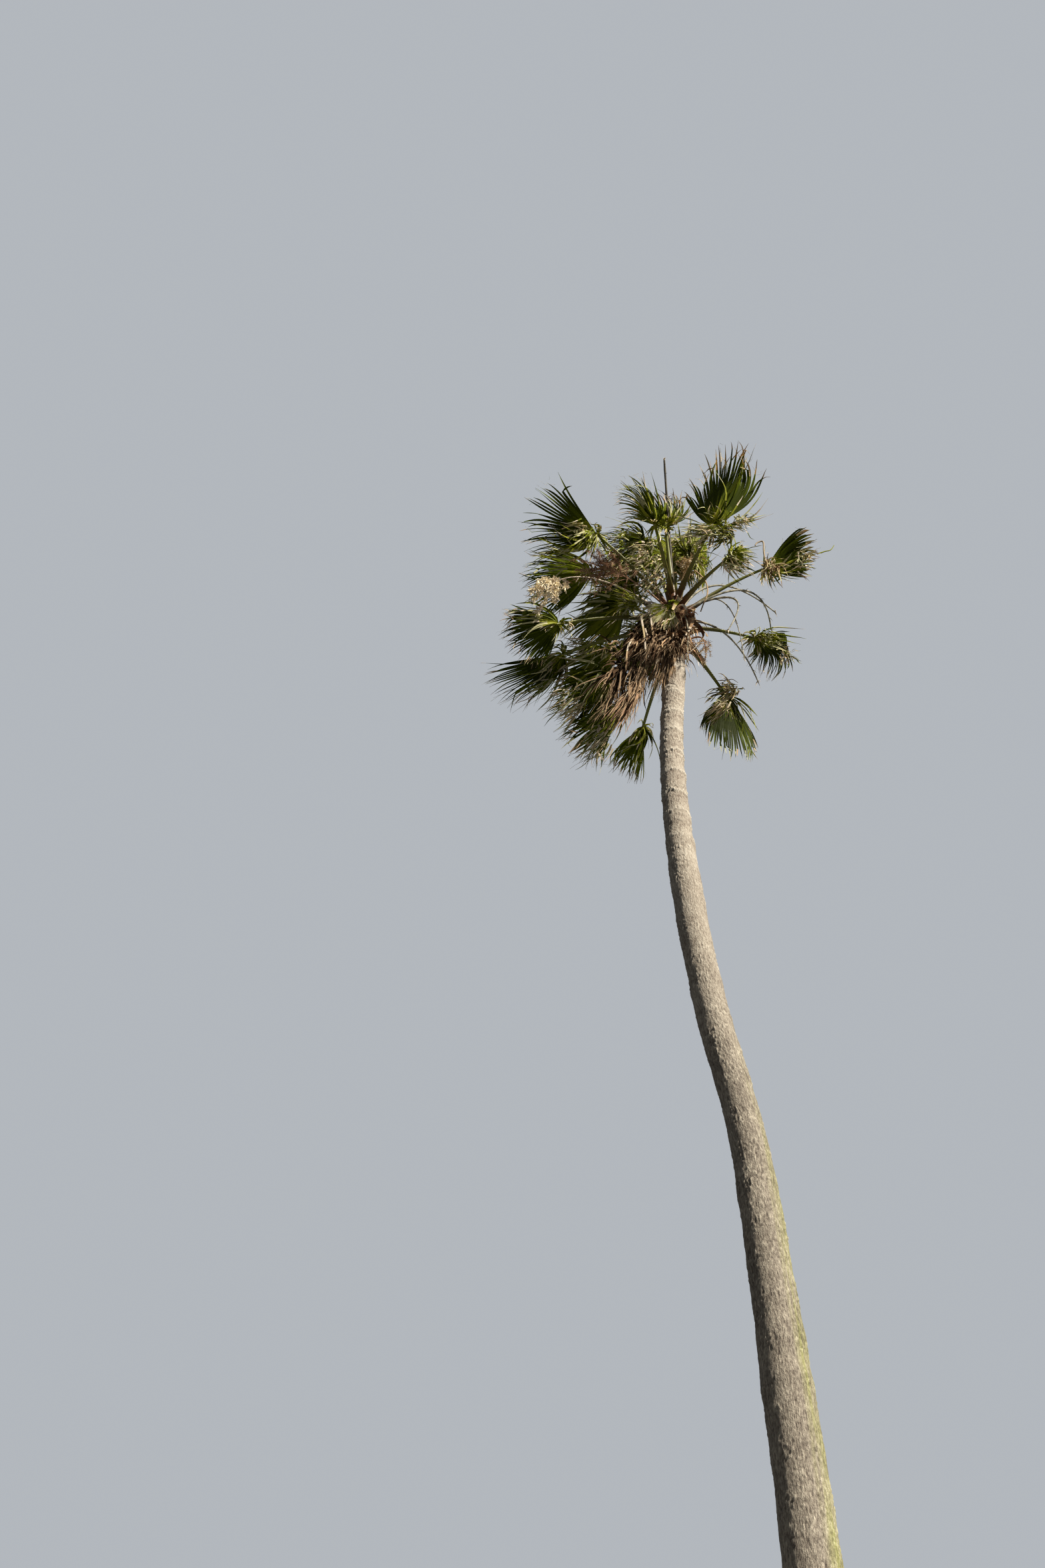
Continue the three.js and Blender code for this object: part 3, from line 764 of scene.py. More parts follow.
@dataclass(frozen=True)
class Nodes:
    """Short calls that add nodes to a tree."""

    tree: bpy.types.ShaderNodeTree

    def add(self, kind: str, output: str, inputs: dict[str | int, object],
            **settings: object) -> bpy.types.NodeSocket:
        """Add a node.

        Args:
            kind: its kind.
            output: the output that is wanted.
            inputs: the value of each input, or the socket that it is linked to.
            settings: its other settings, by name.

        Returns:
            The output's socket.
        """
        node = self.tree.nodes.new(kind)
        for name, value in settings.items():
            setattr(node, name, value)
        for name, value in inputs.items():
            if isinstance(value, bpy.types.NodeSocket):
                self.tree.links.new(value, node.inputs[name])
            else:
                node.inputs[name].default_value = value
        return node.outputs[output]

    def attribute(self, name: str, output: str = "Fac") -> bpy.types.NodeSocket:
        """What one of the piece's own attributes says."""
        return self.add("ShaderNodeAttribute", output, {}, attribute_name=name)

    def noise(self, stretch: Triple, detail: float = 4, roughness: float = 0.6,
              attribute: str | None = None) -> bpy.types.NodeSocket:
        """A noise pattern.

        Args:
            stretch: how fine it is along each axis, in features a metre.
            detail: how many finer layers it has.
            roughness: how strong the finer layers are.
            attribute: the piece's own attribute that it lies on, or None for Object coordinates.

        Returns:
            The pattern's value.
        """
        if attribute:
            source = self.attribute(attribute, "Vector")
        else:
            source = self.add("ShaderNodeTexCoord", "Object", {})
        place = self.add("ShaderNodeMapping", "Vector", {"Vector": source, "Scale": stretch})
        return self.add("ShaderNodeTexNoise", "Fac",
                        {"Vector": place, "Scale": 1, "Detail": detail, "Roughness": roughness})

    def ramp(self, value: bpy.types.NodeSocket, stops: Sequence[float],
             colours: Sequence[Triple]) -> bpy.types.NodeSocket:
        """A colour ramp.

        Args:
            value: where on the ramp to read.
            stops: where its colours stand, from low to high.
            colours: the colours.

        Returns:
            The colour.
        """
        colour = self.add("ShaderNodeValToRGB", "Color", {"Fac": value})
        elements = colour.node.color_ramp.elements
        for stop in stops[2:]:
            elements.new(stop)
        for element, stop, shade in zip(elements, stops, colours):
            element.position, element.color = stop, (*shade, 1)
        return colour

    def mix(self, share: bpy.types.NodeSocket, first: bpy.types.NodeSocket,
            second: bpy.types.NodeSocket) -> bpy.types.NodeSocket:
        """Mix two colours by the second one's share."""
        inputs = {"Factor": share, "A": first, "B": second}
        return self.add("ShaderNodeMix", "Result", inputs, data_type="RGBA")

    def math(self, operation: str, first: bpy.types.NodeSocket,
             second: bpy.types.NodeSocket | float) -> bpy.types.NodeSocket:
        """Combine a value with another value or number."""
        return self.add("ShaderNodeMath", "Value", {0: first, 1: second}, operation=operation)

    def dress(self, shader: bpy.types.Node, colour: bpy.types.NodeSocket, roughness: float,
              height: bpy.types.NodeSocket | None = None, depth: float = 0, strength: float = 1.0) -> None:
        """Give a shader its colour, its roughness and its fine relief.

        Args:
            shader: the shader.
            colour: its colour.
            roughness: how matt it is.
            height: the relief's pattern, or None where it has none.
            depth: how deep the relief is, in metres.
            strength: how strongly it shows.
        """
        self.tree.links.new(colour, shader.inputs["Base Color"])
        shader.inputs["Roughness"].default_value = roughness
        if height:
            relief = {"Height": height, "Distance": depth, "Strength": strength}
            self.tree.links.new(self.add("ShaderNodeBump", "Normal", relief), shader.inputs["Normal"])


@dataclass(frozen=True)
class Bark:
    """Bark: pale tan at the top, grey-brown with pale fibres below, green on one side, with painted shade in
    the stem's hollows and painted light on its ridges.
    """

    low: tuple[Triple, ...] = ((0.090, 0.068, 0.052), (0.325, 0.277, 0.216), (0.620, 0.550, 0.430))
    high: tuple[Triple, ...] = ((0.240, 0.185, 0.142), (0.480, 0.415, 0.328), (0.680, 0.615, 0.505))
    algae: tuple[Triple, ...] = ((0.130, 0.125, 0.050), (0.340, 0.330, 0.130), (0.600, 0.580, 0.320))
    stops: Triple = (0.385, 0.49, 0.60)
    turns_pale: tuple[float, float] = (14.0, 19.0)
    fibre: Triple = (75, 75, 13)
    speck: Triple = (60, 60, 34)
    patch: Triple = (5, 5, 4.5)
    shares: tuple[float, ...] = (0.40, 0.20, 0.18, 0.20)
    roughness: float = 0.92
    depth: float = 0.012

    def make(self) -> bpy.types.Material:
        """Make the bark's material, which reads the stem's straightened places.

        Returns:
            The material.
        """
        material, tree, shader = new_material("ringed_bark")
        nodes = Nodes(tree)
        fibres = nodes.noise(self.fibre, 4, 0.7, "straight")
        specks = nodes.noise(self.speck, 3, attribute="straight")
        patches = nodes.noise(self.patch, attribute="straight")
        mixed = nodes.math("MULTIPLY", fibres, self.shares[0])
        # The last pattern is painted shade: darker where the stem's relief lies in, lighter where it stands
        # out
        for pattern, share in zip((specks, patches, nodes.attribute("relief_shade")), self.shares[1:]):
            mixed = nodes.math("ADD", mixed, nodes.math("MULTIPLY", pattern, share))
        low, high, green = (nodes.ramp(mixed, self.stops, colours)
                            for colours in (self.low, self.high, self.algae))
        height = nodes.add("ShaderNodeSeparateXYZ", "Z", {"Vector": nodes.attribute("straight", "Vector")})
        start, end = self.turns_pale
        inputs = {"From Min": start, "From Max": end, "Value": height}
        pale = nodes.add("ShaderNodeMapRange", "Result", inputs, interpolation_type="SMOOTHSTEP")
        colour = nodes.mix(nodes.attribute("algae"), nodes.mix(pale, low, high), green)
        nodes.dress(shader, colour, self.roughness, nodes.math("ADD", fibres, specks), self.depth)
        return material


@dataclass(frozen=True)
class StalkSkin:
    """A leaf stalk: red-brown at its base, then olive green, with fine relief."""

    base: Triple = (0.130, 0.050, 0.020)
    lower: Triple = (0.120, 0.105, 0.020)
    upper: Triple = (0.200, 0.210, 0.035)
    stops: Triple = (0.05, 0.26, 0.75)
    blotched: float = 0.25
    roughness: float = 0.42

    def make(self, name: str) -> bpy.types.Material:
        """Make the stalk's material, which reads how far along the stalk it is.

        Args:
            name: the material's name.

        Returns:
            The material.
        """
        material, tree, shader = new_material(name)
        nodes = Nodes(tree)
        blotch = nodes.math("SUBTRACT", nodes.noise((14, 14, 14), 3), 0.5)
        place = nodes.math("ADD", nodes.attribute("along"), nodes.math("MULTIPLY", blotch, self.blotched))
        colour = nodes.ramp(place, self.stops, (self.base, self.lower, self.upper))
        nodes.dress(shader, colour, self.roughness, nodes.noise((60, 60, 60), 3), 0.002, 0.5)
        return material


@dataclass(frozen=True)
class Mottled:
    """A surface that is mottled between a dark and a light colour.

    Args:
        dark: the dark colour.
        light: the light colour.
        span: where on the pattern the two colours stand.
        stretch: how fine the mottling is along each axis.
        detail: how many finer layers it has.
        roughness: how matt it is.
        depth: how deep its relief is.
        strength: how strongly the relief shows.
    """

    dark: Triple
    light: Triple
    span: tuple[float, float] = (0.38, 0.60)
    stretch: Triple = (18, 18, 18)
    detail: float = 4
    roughness: float = 0.7
    depth: float = 0.003
    strength: float = 0.6

    def make(self, name: str) -> bpy.types.Material:
        """Make the material.

        Args:
            name: its name.

        Returns:
            The material.
        """
        material, tree, shader = new_material(name)
        nodes = Nodes(tree)
        pattern = nodes.noise(self.stretch, self.detail)
        colour = nodes.ramp(pattern, self.span, (self.dark, self.light))
        height = pattern if self.depth else None
        nodes.dress(shader, colour, self.roughness, height, self.depth, self.strength)
        return material


# A bare flower stalk is grey-green and straw, and the one above the crown is dark
BARE_STALK = Mottled((0.130, 0.125, 0.080), (0.48, 0.43, 0.31))
DARK_STALK = Mottled((0.040, 0.032, 0.022), (0.13, 0.11, 0.07))

# The head's core is matted red-brown fibre
MATTED_FIBRE = Mottled((0.050, 0.026, 0.014), (0.240, 0.130, 0.065), (0.38, 0.62), (70, 70, 12), 5, 0.95,
                       0.015, 1.0)

PALE_FLOOR = Mottled((0.50, 0.50, 0.49), (0.54, 0.54, 0.53), (0.3, 0.7), (2, 2, 2), 3, 0.9, 0)


def evenly(curve: Bow, steps: int, before: float = 0) -> list[Vector]:
    """Points along a curve at even steps.

    Args:
        curve: the curve.
        steps: the number of steps.
        before: how far before its start the first point lies.

    Returns:
        The points, steps + 1 of them.
    """
    low = -before / curve.length
    return [curve.point(low + (1 - low) * step / steps) for step in range(steps + 1)]


@dataclass(frozen=True)
class Stretch:
    """A length of the stem that is one piece.

    Args:
        name: the piece's name.
        low: the height of its lower end.
        high: the height of its upper end.
        rows: faces along it.
    """

    name: str
    low: float
    high: float
    rows: int = 780


@dataclass
class Stem:
    """The trunk, with its ledges, ring scars and fissures in the mesh."""

    sides: int = 120
    stretches: tuple[Stretch, ...] = (Stretch("stem_bark_low", 0, 11.6),
                                      Stretch("stem_bark_high", 11.6, STEM_HEIGHT))
    torn_from: tuple[float, float] = (16.8, 19.4)
    ledge_pitch: float = 0.36
    ledge_depth: float = 0.008
    scar_pitch: float = 0.088
    scar_depth: float = 0.006
    flute_depth: tuple[float, float] = (0.004, 0.010)
    scallop_depth: tuple[float, float] = (0.006, 0.005)
    end_fade: tuple[float, float] = (0.03, 0.02)
    green_side: tuple[float, float] = (0.50, 0.90)
    green_rise: tuple[float, float] = (1.0, 4.0)
    green_fall: tuple[float, float] = (12.0, 16.5)
    depth: float = 0.008

    def middle(self, height: float) -> Vector:
        """The middle line at a height."""
        return Vector((smoothed(STEM_OFFSETS, height / STEM_HEIGHT), 0, height))

    def radius(self, height: float) -> float:
        """The solid's radius at a height.

        Args:
            height: the height.

        Returns:
            The radius.
        """
        swelling = 1 + SWELLING * math.sin(math.tau * height / SWELLING_PITCH)
        flare = FLARE * math.exp(-height / FLARE_HEIGHT)
        return (smoothed(STEM_DIAMETERS, height / STEM_HEIGHT) * swelling + flare) / 2

    def relief(self, across: Vector, height: float) -> tuple[float, float]:
        """How far the bark stands out or lies in.

        Torn ledges overhang near the top, rough and smooth bands take turns all the way down, and
        the outline is softly scalloped.

        Args:
            across: the unit vector from the middle line to the surface.
            height: the height.

        Returns:
            The fine relief, and the whole of it, in metres.
        """
        radius = self.radius(height)

        def pattern(round_size: float, high_size: float, shift: float = 0) -> float:
            """A noise pattern with features of a size round the stem and along it."""
            spread = radius / round_size
            return noise.noise(Vector((across.x * spread + shift, across.y * spread, height / high_size)))

        near_top = smooth_step(*self.torn_from, height)
        rough = smooth_step(-0.25, 0.30, pattern(0.60, 0.17, 3))
        drift = height + 0.16 * noise.noise(Vector((3.1, 0, height / 0.7)))
        torn = drift + 0.040 * pattern(0.09, 0.3) + 0.034 * pattern(0.024, 0.25, 7)
        ledge = (1 - torn / self.ledge_pitch % 1) ** 4 * self.ledge_depth
        scar = (1 - torn / self.scar_pitch % 1) ** 2 * self.scar_depth * (0.3 + 0.7 * rough)
        shallow, deeper = self.flute_depth
        flutes = (abs(pattern(0.020, 0.050, 5)) - 0.22) * (shallow + deeper * rough)
        fine = near_top * (ledge + scar - 0.003) + flutes
        broad, long = self.scallop_depth
        scallops = (broad * pattern(0.45, 0.20, 9)
                    + long * noise.noise(Vector((across.x * 0.3, 0, height / 0.21))))
        foot, top = self.end_fade
        fade = smooth_step(0, foot, height) * (1 - smooth_step(STEM_HEIGHT - top, STEM_HEIGHT, height))
        return fine * fade, (fine + scallops) * fade

    def algae(self, across: Vector, height: float) -> float:
        """How green the bark is: on the side that faces +X, between two heights.

        Args:
            across: the unit vector from the middle line to the surface.
            height: the height.

        Returns:
            The share of green, from 0 to 1.
        """
        side = smooth_step(*self.green_side, across.x - 0.25 * across.y)
        band = smooth_step(*self.green_rise, height) * (1 - smooth_step(*self.green_fall, height))
        broken = 0.6 + 1.2 * noise.noise(Vector((across.x * 5, across.y * 5, height * 1.3)))
        return side * band * min(max(broken, 0.0), 1.0)

    def ring(self, height: float) -> list[Vector]:
        """The ring of points at a height."""
        middle, radius = self.middle(height), self.radius(height)
        return [middle + across * (radius + self.relief(across, height)[1]) for across in compass(self.sides)]

    def dress(self, made: bpy.types.Object, stretch: Stretch) -> None:
        """Write the attributes that the bark's material reads: straightened places, algae, and the fine
        relief that it turns into painted shade in the hollows and painted light on the ridges.

        Args:
            made: the finished piece.
            stretch: the length of the stem that it is.
        """
        shares = ("algae", "relief_shade")
        made.data.attributes.new("straight", "FLOAT_VECTOR", "POINT")
        for name in shares:
            made.data.attributes.new(name, "FLOAT", "POINT")
        straight, algae, relief_shade = (made.data.attributes[name] for name in ("straight", *shares))
        for index, vertex in enumerate(made.data.vertices):
            height = min(max(vertex.co.z, stretch.low), stretch.high)
            out = vertex.co - self.middle(height)
            across = Vector((out.x, out.y, 0)).normalized()
            straight.data[index].vector = Vector((out.x, out.y, height))
            algae.data[index].value = self.algae(across, height)
            # The fine relief, centred on 0.5, which the bark turns into painted shade in the hollows and
            # painted light on the ridges
            relief_shade.data[index].value = 0.5 + self.relief(across, height)[0] / self.depth / 2

    def build(self) -> None:
        """Build and dress the stem."""
        bark = Bark().make()
        for stretch in self.stretches:
            step = (stretch.high - stretch.low) / stretch.rows
            rings = [self.ring(stretch.low + step * row) for row in range(stretch.rows + 1)]
            piece = Piece(stretch.name, Slot.BARK, "stem")
            piece.add([Loft(rings, [Tint.ASH] * stretch.rows)])
            self.dress(piece.finish({Tint.ASH: bark}, smooth=True), stretch)


@dataclass(frozen=True)
class Sheath:
    """A wide curled strip of torn leaf base with pale rims.

    Args:
        drop: how far below the growing point it starts.
        heading: the side that it leaves on, in degrees.
        length: its length.
        curl: how far it curls round, in degrees.
    """

    drop: float
    heading: float
    length: float
    curl: float

    def strip(self, twist: float) -> Loft:
        """The strip.

        Args:
            twist: how far it is twisted, in degrees.

        Returns:
            The strip.
        """
        towards = Way(self.heading + self.curl, -70).vector()
        points = blown_path(stalk_start(self.drop, self.heading), Way(self.heading, 35).vector(), towards,
                            self.length, 0.05, 2.6, steps=14)
        return blade(points, Way(self.heading - 90, 0).vector(), lambda v: 0.075 * (1 - 0.6 * v),
                     (Tint.RUST, Tint.TAN, Tint.DRY), 0.22, twist, 0.004, 8)

    def rims(self, strip: Loft) -> list[Loft]:
        """The pale rims along both edges of the strip."""
        edges = ([ring[corner] for ring in strip.rings] for corner in (0, 4))
        return [tube(edge, lambda v: 0.007 * (1.1 - v), Tint.BARE, 4) for edge in edges]


@dataclass
class Head:
    """The swollen top of the stem: matted fibre, split leaf bases, curled sheaths and loose strips."""

    sides: int = 48
    rows: int = 70
    boots: int = 30
    boot_drops: tuple[float, float] = (0.16, 0.98)
    boot_length: tuple[float, float] = (0.10, 0.20)
    boot_width: tuple[float, float] = (0.05, 0.075)
    sheaths: tuple[Sheath, ...] = (
        Sheath(0.40, 120, 0.40, 60), Sheath(0.34, -30, 0.24, -150), Sheath(0.55, 60, 0.36, 120),
        Sheath(0.62, 0, 0.36, -150), Sheath(0.48, -130, 0.40, -60), Sheath(0.70, -60, 0.40, -120))
    strips: int = 300
    strip_length: tuple[float, float] = (0.12, 0.52)
    strip_width: tuple[float, float] = (0.008, 0.022)
    rng: random.Random = field(default_factory=lambda: random.Random(17))

    def core_ring(self, drop: float) -> list[Vector]:
        """A ring of the rough fibrous core.

        Args:
            drop: the depth below the growing point.

        Returns:
            The ring.
        """
        rough = ((across, noise.noise(Vector((across.x * 6, across.y * 6, drop * 5))))
                 for across in compass(self.sides))
        radius = between(HEAD_DEPTHS, HEAD_RADII, drop)
        return [head_axis(drop) + across * (radius * (0.97 + 0.07 * lump)) for across, lump in rough]

    def build_core(self) -> None:
        """Build the core."""
        piece = Piece("fibrous_head", Slot.LEAF_BASE, "head_of_leaf_bases")
        rings = [self.core_ring(HEAD_LENGTH * row / self.rows) for row in range(self.rows + 1)]
        piece.add([Loft(rings, [Tint.UMBER] * self.rows)])
        piece.finish({Tint.UMBER: MATTED_FIBRE.make("matted_fibre")}, smooth=True)

    def boot(self, index: int) -> list[Loft]:
        """One old leaf base, split down its middle, its two halves standing apart.

        Args:
            index: its number, counted down the head.

        Returns:
            The two halves.
        """
        heading = index * GOLDEN_ANGLE
        first, spread = self.boot_drops
        drop = first + spread * (index + 0.5) / self.boots
        length = self.rng.uniform(*self.boot_length)
        halves = []
        for aside in (-1, 1):
            start = stalk_start(drop, heading + aside * 9) - Way(heading, 0).vector() * 0.012
            way = Way(heading + aside * self.rng.uniform(4, 20), self.rng.uniform(74, 88)).vector()
            outward = Way(heading + aside * self.rng.uniform(0, 40), self.rng.uniform(10, 60)).vector()
            points = blown_path(start, way, outward, length, 0.1, self.rng.uniform(0.05, 0.35), steps=6)
            wide = self.rng.uniform(*self.boot_width)
            tints = (Tint.UMBER,
                     self.rng.choice((Tint.RUST, Tint.DRY, Tint.UMBER)),
                     self.rng.choice((Tint.DRY, Tint.RUST)),
                     self.rng.choice((Tint.TAN, Tint.DRY, Tint.UMBER)),
                     self.rng.choice((Tint.TAN, Tint.ASH, Tint.DRY)))
            across = Way(heading - 90, 0).vector()
            halves.append(blade(points, across, lambda v, w=wide: w * (1 - 0.75 * v ** 1.5), tints, 0.18,
                                aside * self.rng.uniform(0, 60), 0.006, 8))
        return halves

    def strip(self) -> Loft:
        """A loose dry strip that hangs from the head, mostly on the side that the wind blows to.

        Returns:
            The strip.
        """
        heading = self.rng.gauss(-140, 80)
        start = stalk_start(0.25 + 0.85 * self.rng.random() ** 0.7, heading)
        wind = Way(180 + self.rng.gauss(0, 25), self.rng.uniform(-88, -72)).vector()
        outward = Way(heading + self.rng.gauss(0, 30), self.rng.uniform(-70, 10)).vector()
        sway = shaken(self.rng, 0.22)
        downwind = math.cos(math.radians(heading)) < 0
        length = self.rng.uniform(*self.strip_length) * (1 + 0.35 * downwind)
        points = blown_path(start, outward, wind, length, 0.02, 3.2, sway, 9)
        tints = (self.rng.choice((Tint.UMBER, Tint.DRY, Tint.TAN, Tint.CLAY, Tint.ASH, Tint.RUST)),
                 self.rng.choice((Tint.DRY, Tint.TAN, Tint.ASH, Tint.BARE, Tint.STRAW, Tint.CLAY)))
        wide = self.rng.uniform(*self.strip_width)
        return blade(points, Way(heading - 90, 0).vector(), lambda v: wide * (1.05 - v ** 2), tints, 0.3,
                     self.rng.uniform(-250, 250))

    def build(self) -> None:
        """Build the core, the leaf bases, the curled sheaths and the loose strips."""
        self.build_core()
        piece = Piece("split_leaf_bases", Slot.LEAF_BASE)
        piece.add([half for index in range(self.boots) for half in self.boot(index)])
        for sheath in self.sheaths:
            strip = sheath.strip(self.rng.uniform(-120, 120))
            piece.add([strip])
            piece.add(sheath.rims(strip))
        piece.finish()
        loose = Piece("loose_base_strips", Slot.DEAD_LEAF)
        loose.add([self.strip() for _ in range(self.strips)])
        loose.finish()


@dataclass
class LeafStalk:
    """A leaf's stalk: channelled above, rounded below, with teeth along its edges."""

    plan: LeafPlan
    base: tuple[float, float] = (0.084, 0.052)
    tip: tuple[float, float] = (0.034, 0.026)
    sink: float = 0.05
    overrun: float = 0.03
    columns: int = 16
    rows: int = 26
    tooth: float = 0.011
    tooth_radius: float = 0.0035
    tooth_pitch: float = 0.032
    toothed: float = 0.7

    @cached_property
    def curve(self) -> Bow:
        """The stalk's middle line."""
        return leaf_stalk_curve(self.plan)

    def section(self, t: float) -> tuple[Vector, Vector, float, float]:
        """The section at a share of the length.

        Args:
            t: the share.

        Returns:
            The way across, the way up, the width and the depth.
        """
        forward = self.curve.tangent(t)
        side = Way(self.plan.way.heading - 90, 0).vector()
        side = (side - forward * side.dot(forward)).normalized()
        taper = (1 - min(max(t, 0), 1)) ** 2
        width = self.tip[0] + (self.base[0] - self.tip[0]) * taper
        depth = self.tip[1] + (self.base[1] - self.tip[1]) * taper
        return side, side.cross(forward), width, depth

    def ring(self, t: float) -> list[Vector]:
        """A ring of the skin: channelled above and rounded below.

        Args:
            t: the share of the length.

        Returns:
            The ring.
        """
        side, up, width, depth = self.section(t)
        points = []
        for corner in range(self.columns):
            turn = corner * math.tau / self.columns
            lift = math.sin(turn)
            if lift > 0:
                lift *= 0.55 - 0.5 * (1 - abs(math.cos(turn))) ** 1.5
            points.append(self.curve.point(t) + side * math.cos(turn) * width / 2 + up * lift * depth / 2)
        return points

    def skin(self, tint: Tint) -> Loft:
        """The stalk without its teeth."""
        low, high = -self.sink / self.plan.stalk, 1 + self.overrun / self.plan.stalk
        places = (low + (high - low) * row / self.rows for row in range(self.rows + 1))
        return Loft([self.ring(t) for t in places], [tint] * self.rows)

    def teeth(self) -> list[Loft]:
        """Small forward teeth along both edges.

        Returns:
            The teeth.
        """
        count = int(self.plan.stalk * self.toothed / self.tooth_pitch)
        lofts = []
        for index in range(2 * count):
            t = 0.06 + self.toothed * (index // 2 + 0.5 * (index % 2)) / count
            side, _, width, _ = self.section(t)
            edge = side if index % 2 else -side
            size = self.tooth * (1 - 0.5 * t)
            root = self.curve.point(t) + edge * (width / 2 - 0.002)
            forward = self.curve.tangent(t)
            bend = root + edge * size * 0.7 + forward * size * 0.4
            path = [root, bend, root + edge * size + forward * size]
            lofts.append(tube(path, lambda v: self.tooth_radius * (1.02 - v), Tint.RUST, 3))
        return lofts

    def build(self, name: str) -> None:
        """Build and dress the stalk.

        Args:
            name: the node that it stands for.
        """
        piece = Piece(f"{name}_skin", Slot.LEAF_STALK, name)
        piece.add([self.skin(Tint.OLIVE)])
        piece.add(self.teeth())
        made = piece.finish({Tint.OLIVE: StalkSkin().make(f"{name}_green")}, smooth=True)
        along = made.data.attributes.new("along", "FLOAT", "POINT")
        for index, vertex in enumerate(made.data.vertices):
            along.data[index].value = (vertex.co - self.curve.start).length / self.plan.stalk


@dataclass(frozen=True)
class Habit:
    """How the loose part of one leaflet grows.

    Args:
        short: its length, as a share of what its rib would give it.
        lean: the way that it leans.
        droop: how far it hangs.
        kink_at: how far out it is kinked, or past 1 where it isn't.
        kink: the way that it turns there.
        twist: how far it is twisted, in radians.
        taper: how late it narrows.
    """

    short: float
    lean: Vector
    droop: float
    kink_at: float
    kink: Vector
    twist: float
    taper: float


@dataclass
class Fan:
    """A fan blade: pleated and joined near its hub, then split into drooping leaflets.

    Args:
        plan: the leaf's sizes.
        seed: the seed of its random draws.
        stalk: the tint of its own stalk, or None where the stalk is a piece of its own.
    """

    plan: LeafPlan
    seed: int
    stalk: Tint | None = None
    rows: int = 16
    thickness: float = 0.0022
    hub_share: float = 0.012
    stiff: float = 0.42
    side_length: float = 0.45
    side_fall: float = 0.8
    pleat: float = 0.32
    folded_width: tuple[float, float] = (0.022, 0.042)
    hanging_width: tuple[float, float] = (0.016, 0.034)
    thread_length: tuple[float, float] = (0.05, 0.14)
    thread_radius: float = 0.0011
    costa_radius: float = 0.014
    rng: random.Random = field(init=False)
    ribs: dict[float, list[Vector]] = field(init=False, default_factory=dict)

    def __post_init__(self) -> None:
        """Seed the draws, and find the hub and the fan's axes."""
        self.rng = random.Random(self.seed)
        self.hub = leaf_stalk_curve(self.plan).finish
        self.along, self.across, self.up = self.plan.lie.axes()
        self.wind = self.plan.wind.vector()

    def outward(self, angle: float) -> Vector:
        """The way that the rib at an angle leaves the hub.

        Args:
            angle: the angle from the middle rib, in degrees.

        Returns:
            The way.
        """
        turn, fold = math.radians(angle), math.radians(self.plan.fold)
        aside = math.sin(turn)
        lifted = self.across * aside * math.cos(fold) + self.up * abs(aside) * math.sin(fold)
        return (self.along * math.cos(turn) + lifted).normalized()

    def noisy(self, angle: float, pitch: float, shift: float, depth: float) -> Vector:
        """A vector that changes slowly from leaflet to leaflet."""
        return noise.noise_vector(Vector((angle * pitch, self.seed * shift, depth)))

    def gust(self, angle: float) -> Vector:
        """A sway that neighbouring leaflets share."""
        broad, close = self.noisy(angle, 0.045, 3.7, 0.5), self.noisy(angle, 0.14, 1.9, 7.5)
        return (broad * 1.7 + close * 0.9) * self.plan.ruffle

    def rib(self, angle: float) -> list[Vector]:
        """The rib at an angle, by the same rule as the solid's, swayed by gusts.

        Args:
            angle: the angle.

        Returns:
            The points along it.
        """
        if angle not in self.ribs:
            shorter = math.cos(math.radians(angle) * self.side_fall)
            length = self.plan.length * (self.side_length + (1 - self.side_length) * shorter)
            stiff = self.stiff * (1 - 0.5 * min(1, abs(angle) / 120))
            bent = self.wind * self.plan.wind.by + self.gust(angle)
            self.ribs[angle] = blown_path(self.hub, self.outward(angle), bent, length, stiff, 1)
        return self.ribs[angle]

    def reach(self, row: int) -> float:
        """How far out a row of faces starts, as a share of the rib."""
        return self.hub_share + (1 - self.hub_share) * row / self.rows

    def habit(self, angle: float) -> Habit:
        """Draw how a leaflet's loose part grows.

        Args:
            angle: the leaflet's angle.

        Returns:
            Its habit, wilder the more the leaf is ruffled.
        """
        wild = self.plan.ruffle
        short = 1 - abs(self.rng.gauss(0, 0.05 + 0.14 * wild))
        lean = shaken(self.rng, 0.12 + 0.16 * wild) + self.noisy(angle, 0.30, 2.3, 3.5) * (0.25 + 0.7 * wild)
        droop = self.rng.uniform(0.1, 0.5 + 1.1 * wild)
        kinked = self.rng.random() < 0.12 + 0.60 * wild
        kink_at = self.rng.uniform(0.66, 0.90) if kinked else 2
        kink = shaken(self.rng, 0.8) - UP * self.rng.uniform(0.3, 1.8) + self.wind * 0.6
        twist = math.radians(self.rng.gauss(0, 35 + 60 * wild))
        return Habit(short, lean, droop, kink_at, kink, twist, self.rng.uniform(1.6, 3.2))

    def spine(self, rib: list[Vector], free_from: float, habit: Habit) -> list[tuple[Vector, Vector]]:
        """The middle line of a leaflet, which follows its rib and then goes its own way.

        Args:
            rib: its rib.
            free_from: how far out it is joined to a neighbour.
            habit: how its loose part grows.

        Returns:
            The point and the way along it at each row.
        """
        centre, spine = rib[0], []
        for reach in (self.reach(row) for row in range(self.rows + 1)):
            free = max(0.0, (reach - free_from) / (1 - free_from))
            forward = (along_path(rib, reach + 0.04) - along_path(rib, reach - 0.04)).normalized()
            if free > 0:
                forward = forward + habit.lean * free - UP * habit.droop * free * free
                bent = smooth_step(habit.kink_at, habit.kink_at + 0.1, reach)
                forward = (forward + habit.kink * bent).normalized()
                centre = centre + forward * (rib[1] - rib[0]).length * RIB_STEPS / self.rows * habit.short
            else:
                centre = along_path(rib, reach)
            spine.append((centre, forward))
        return spine

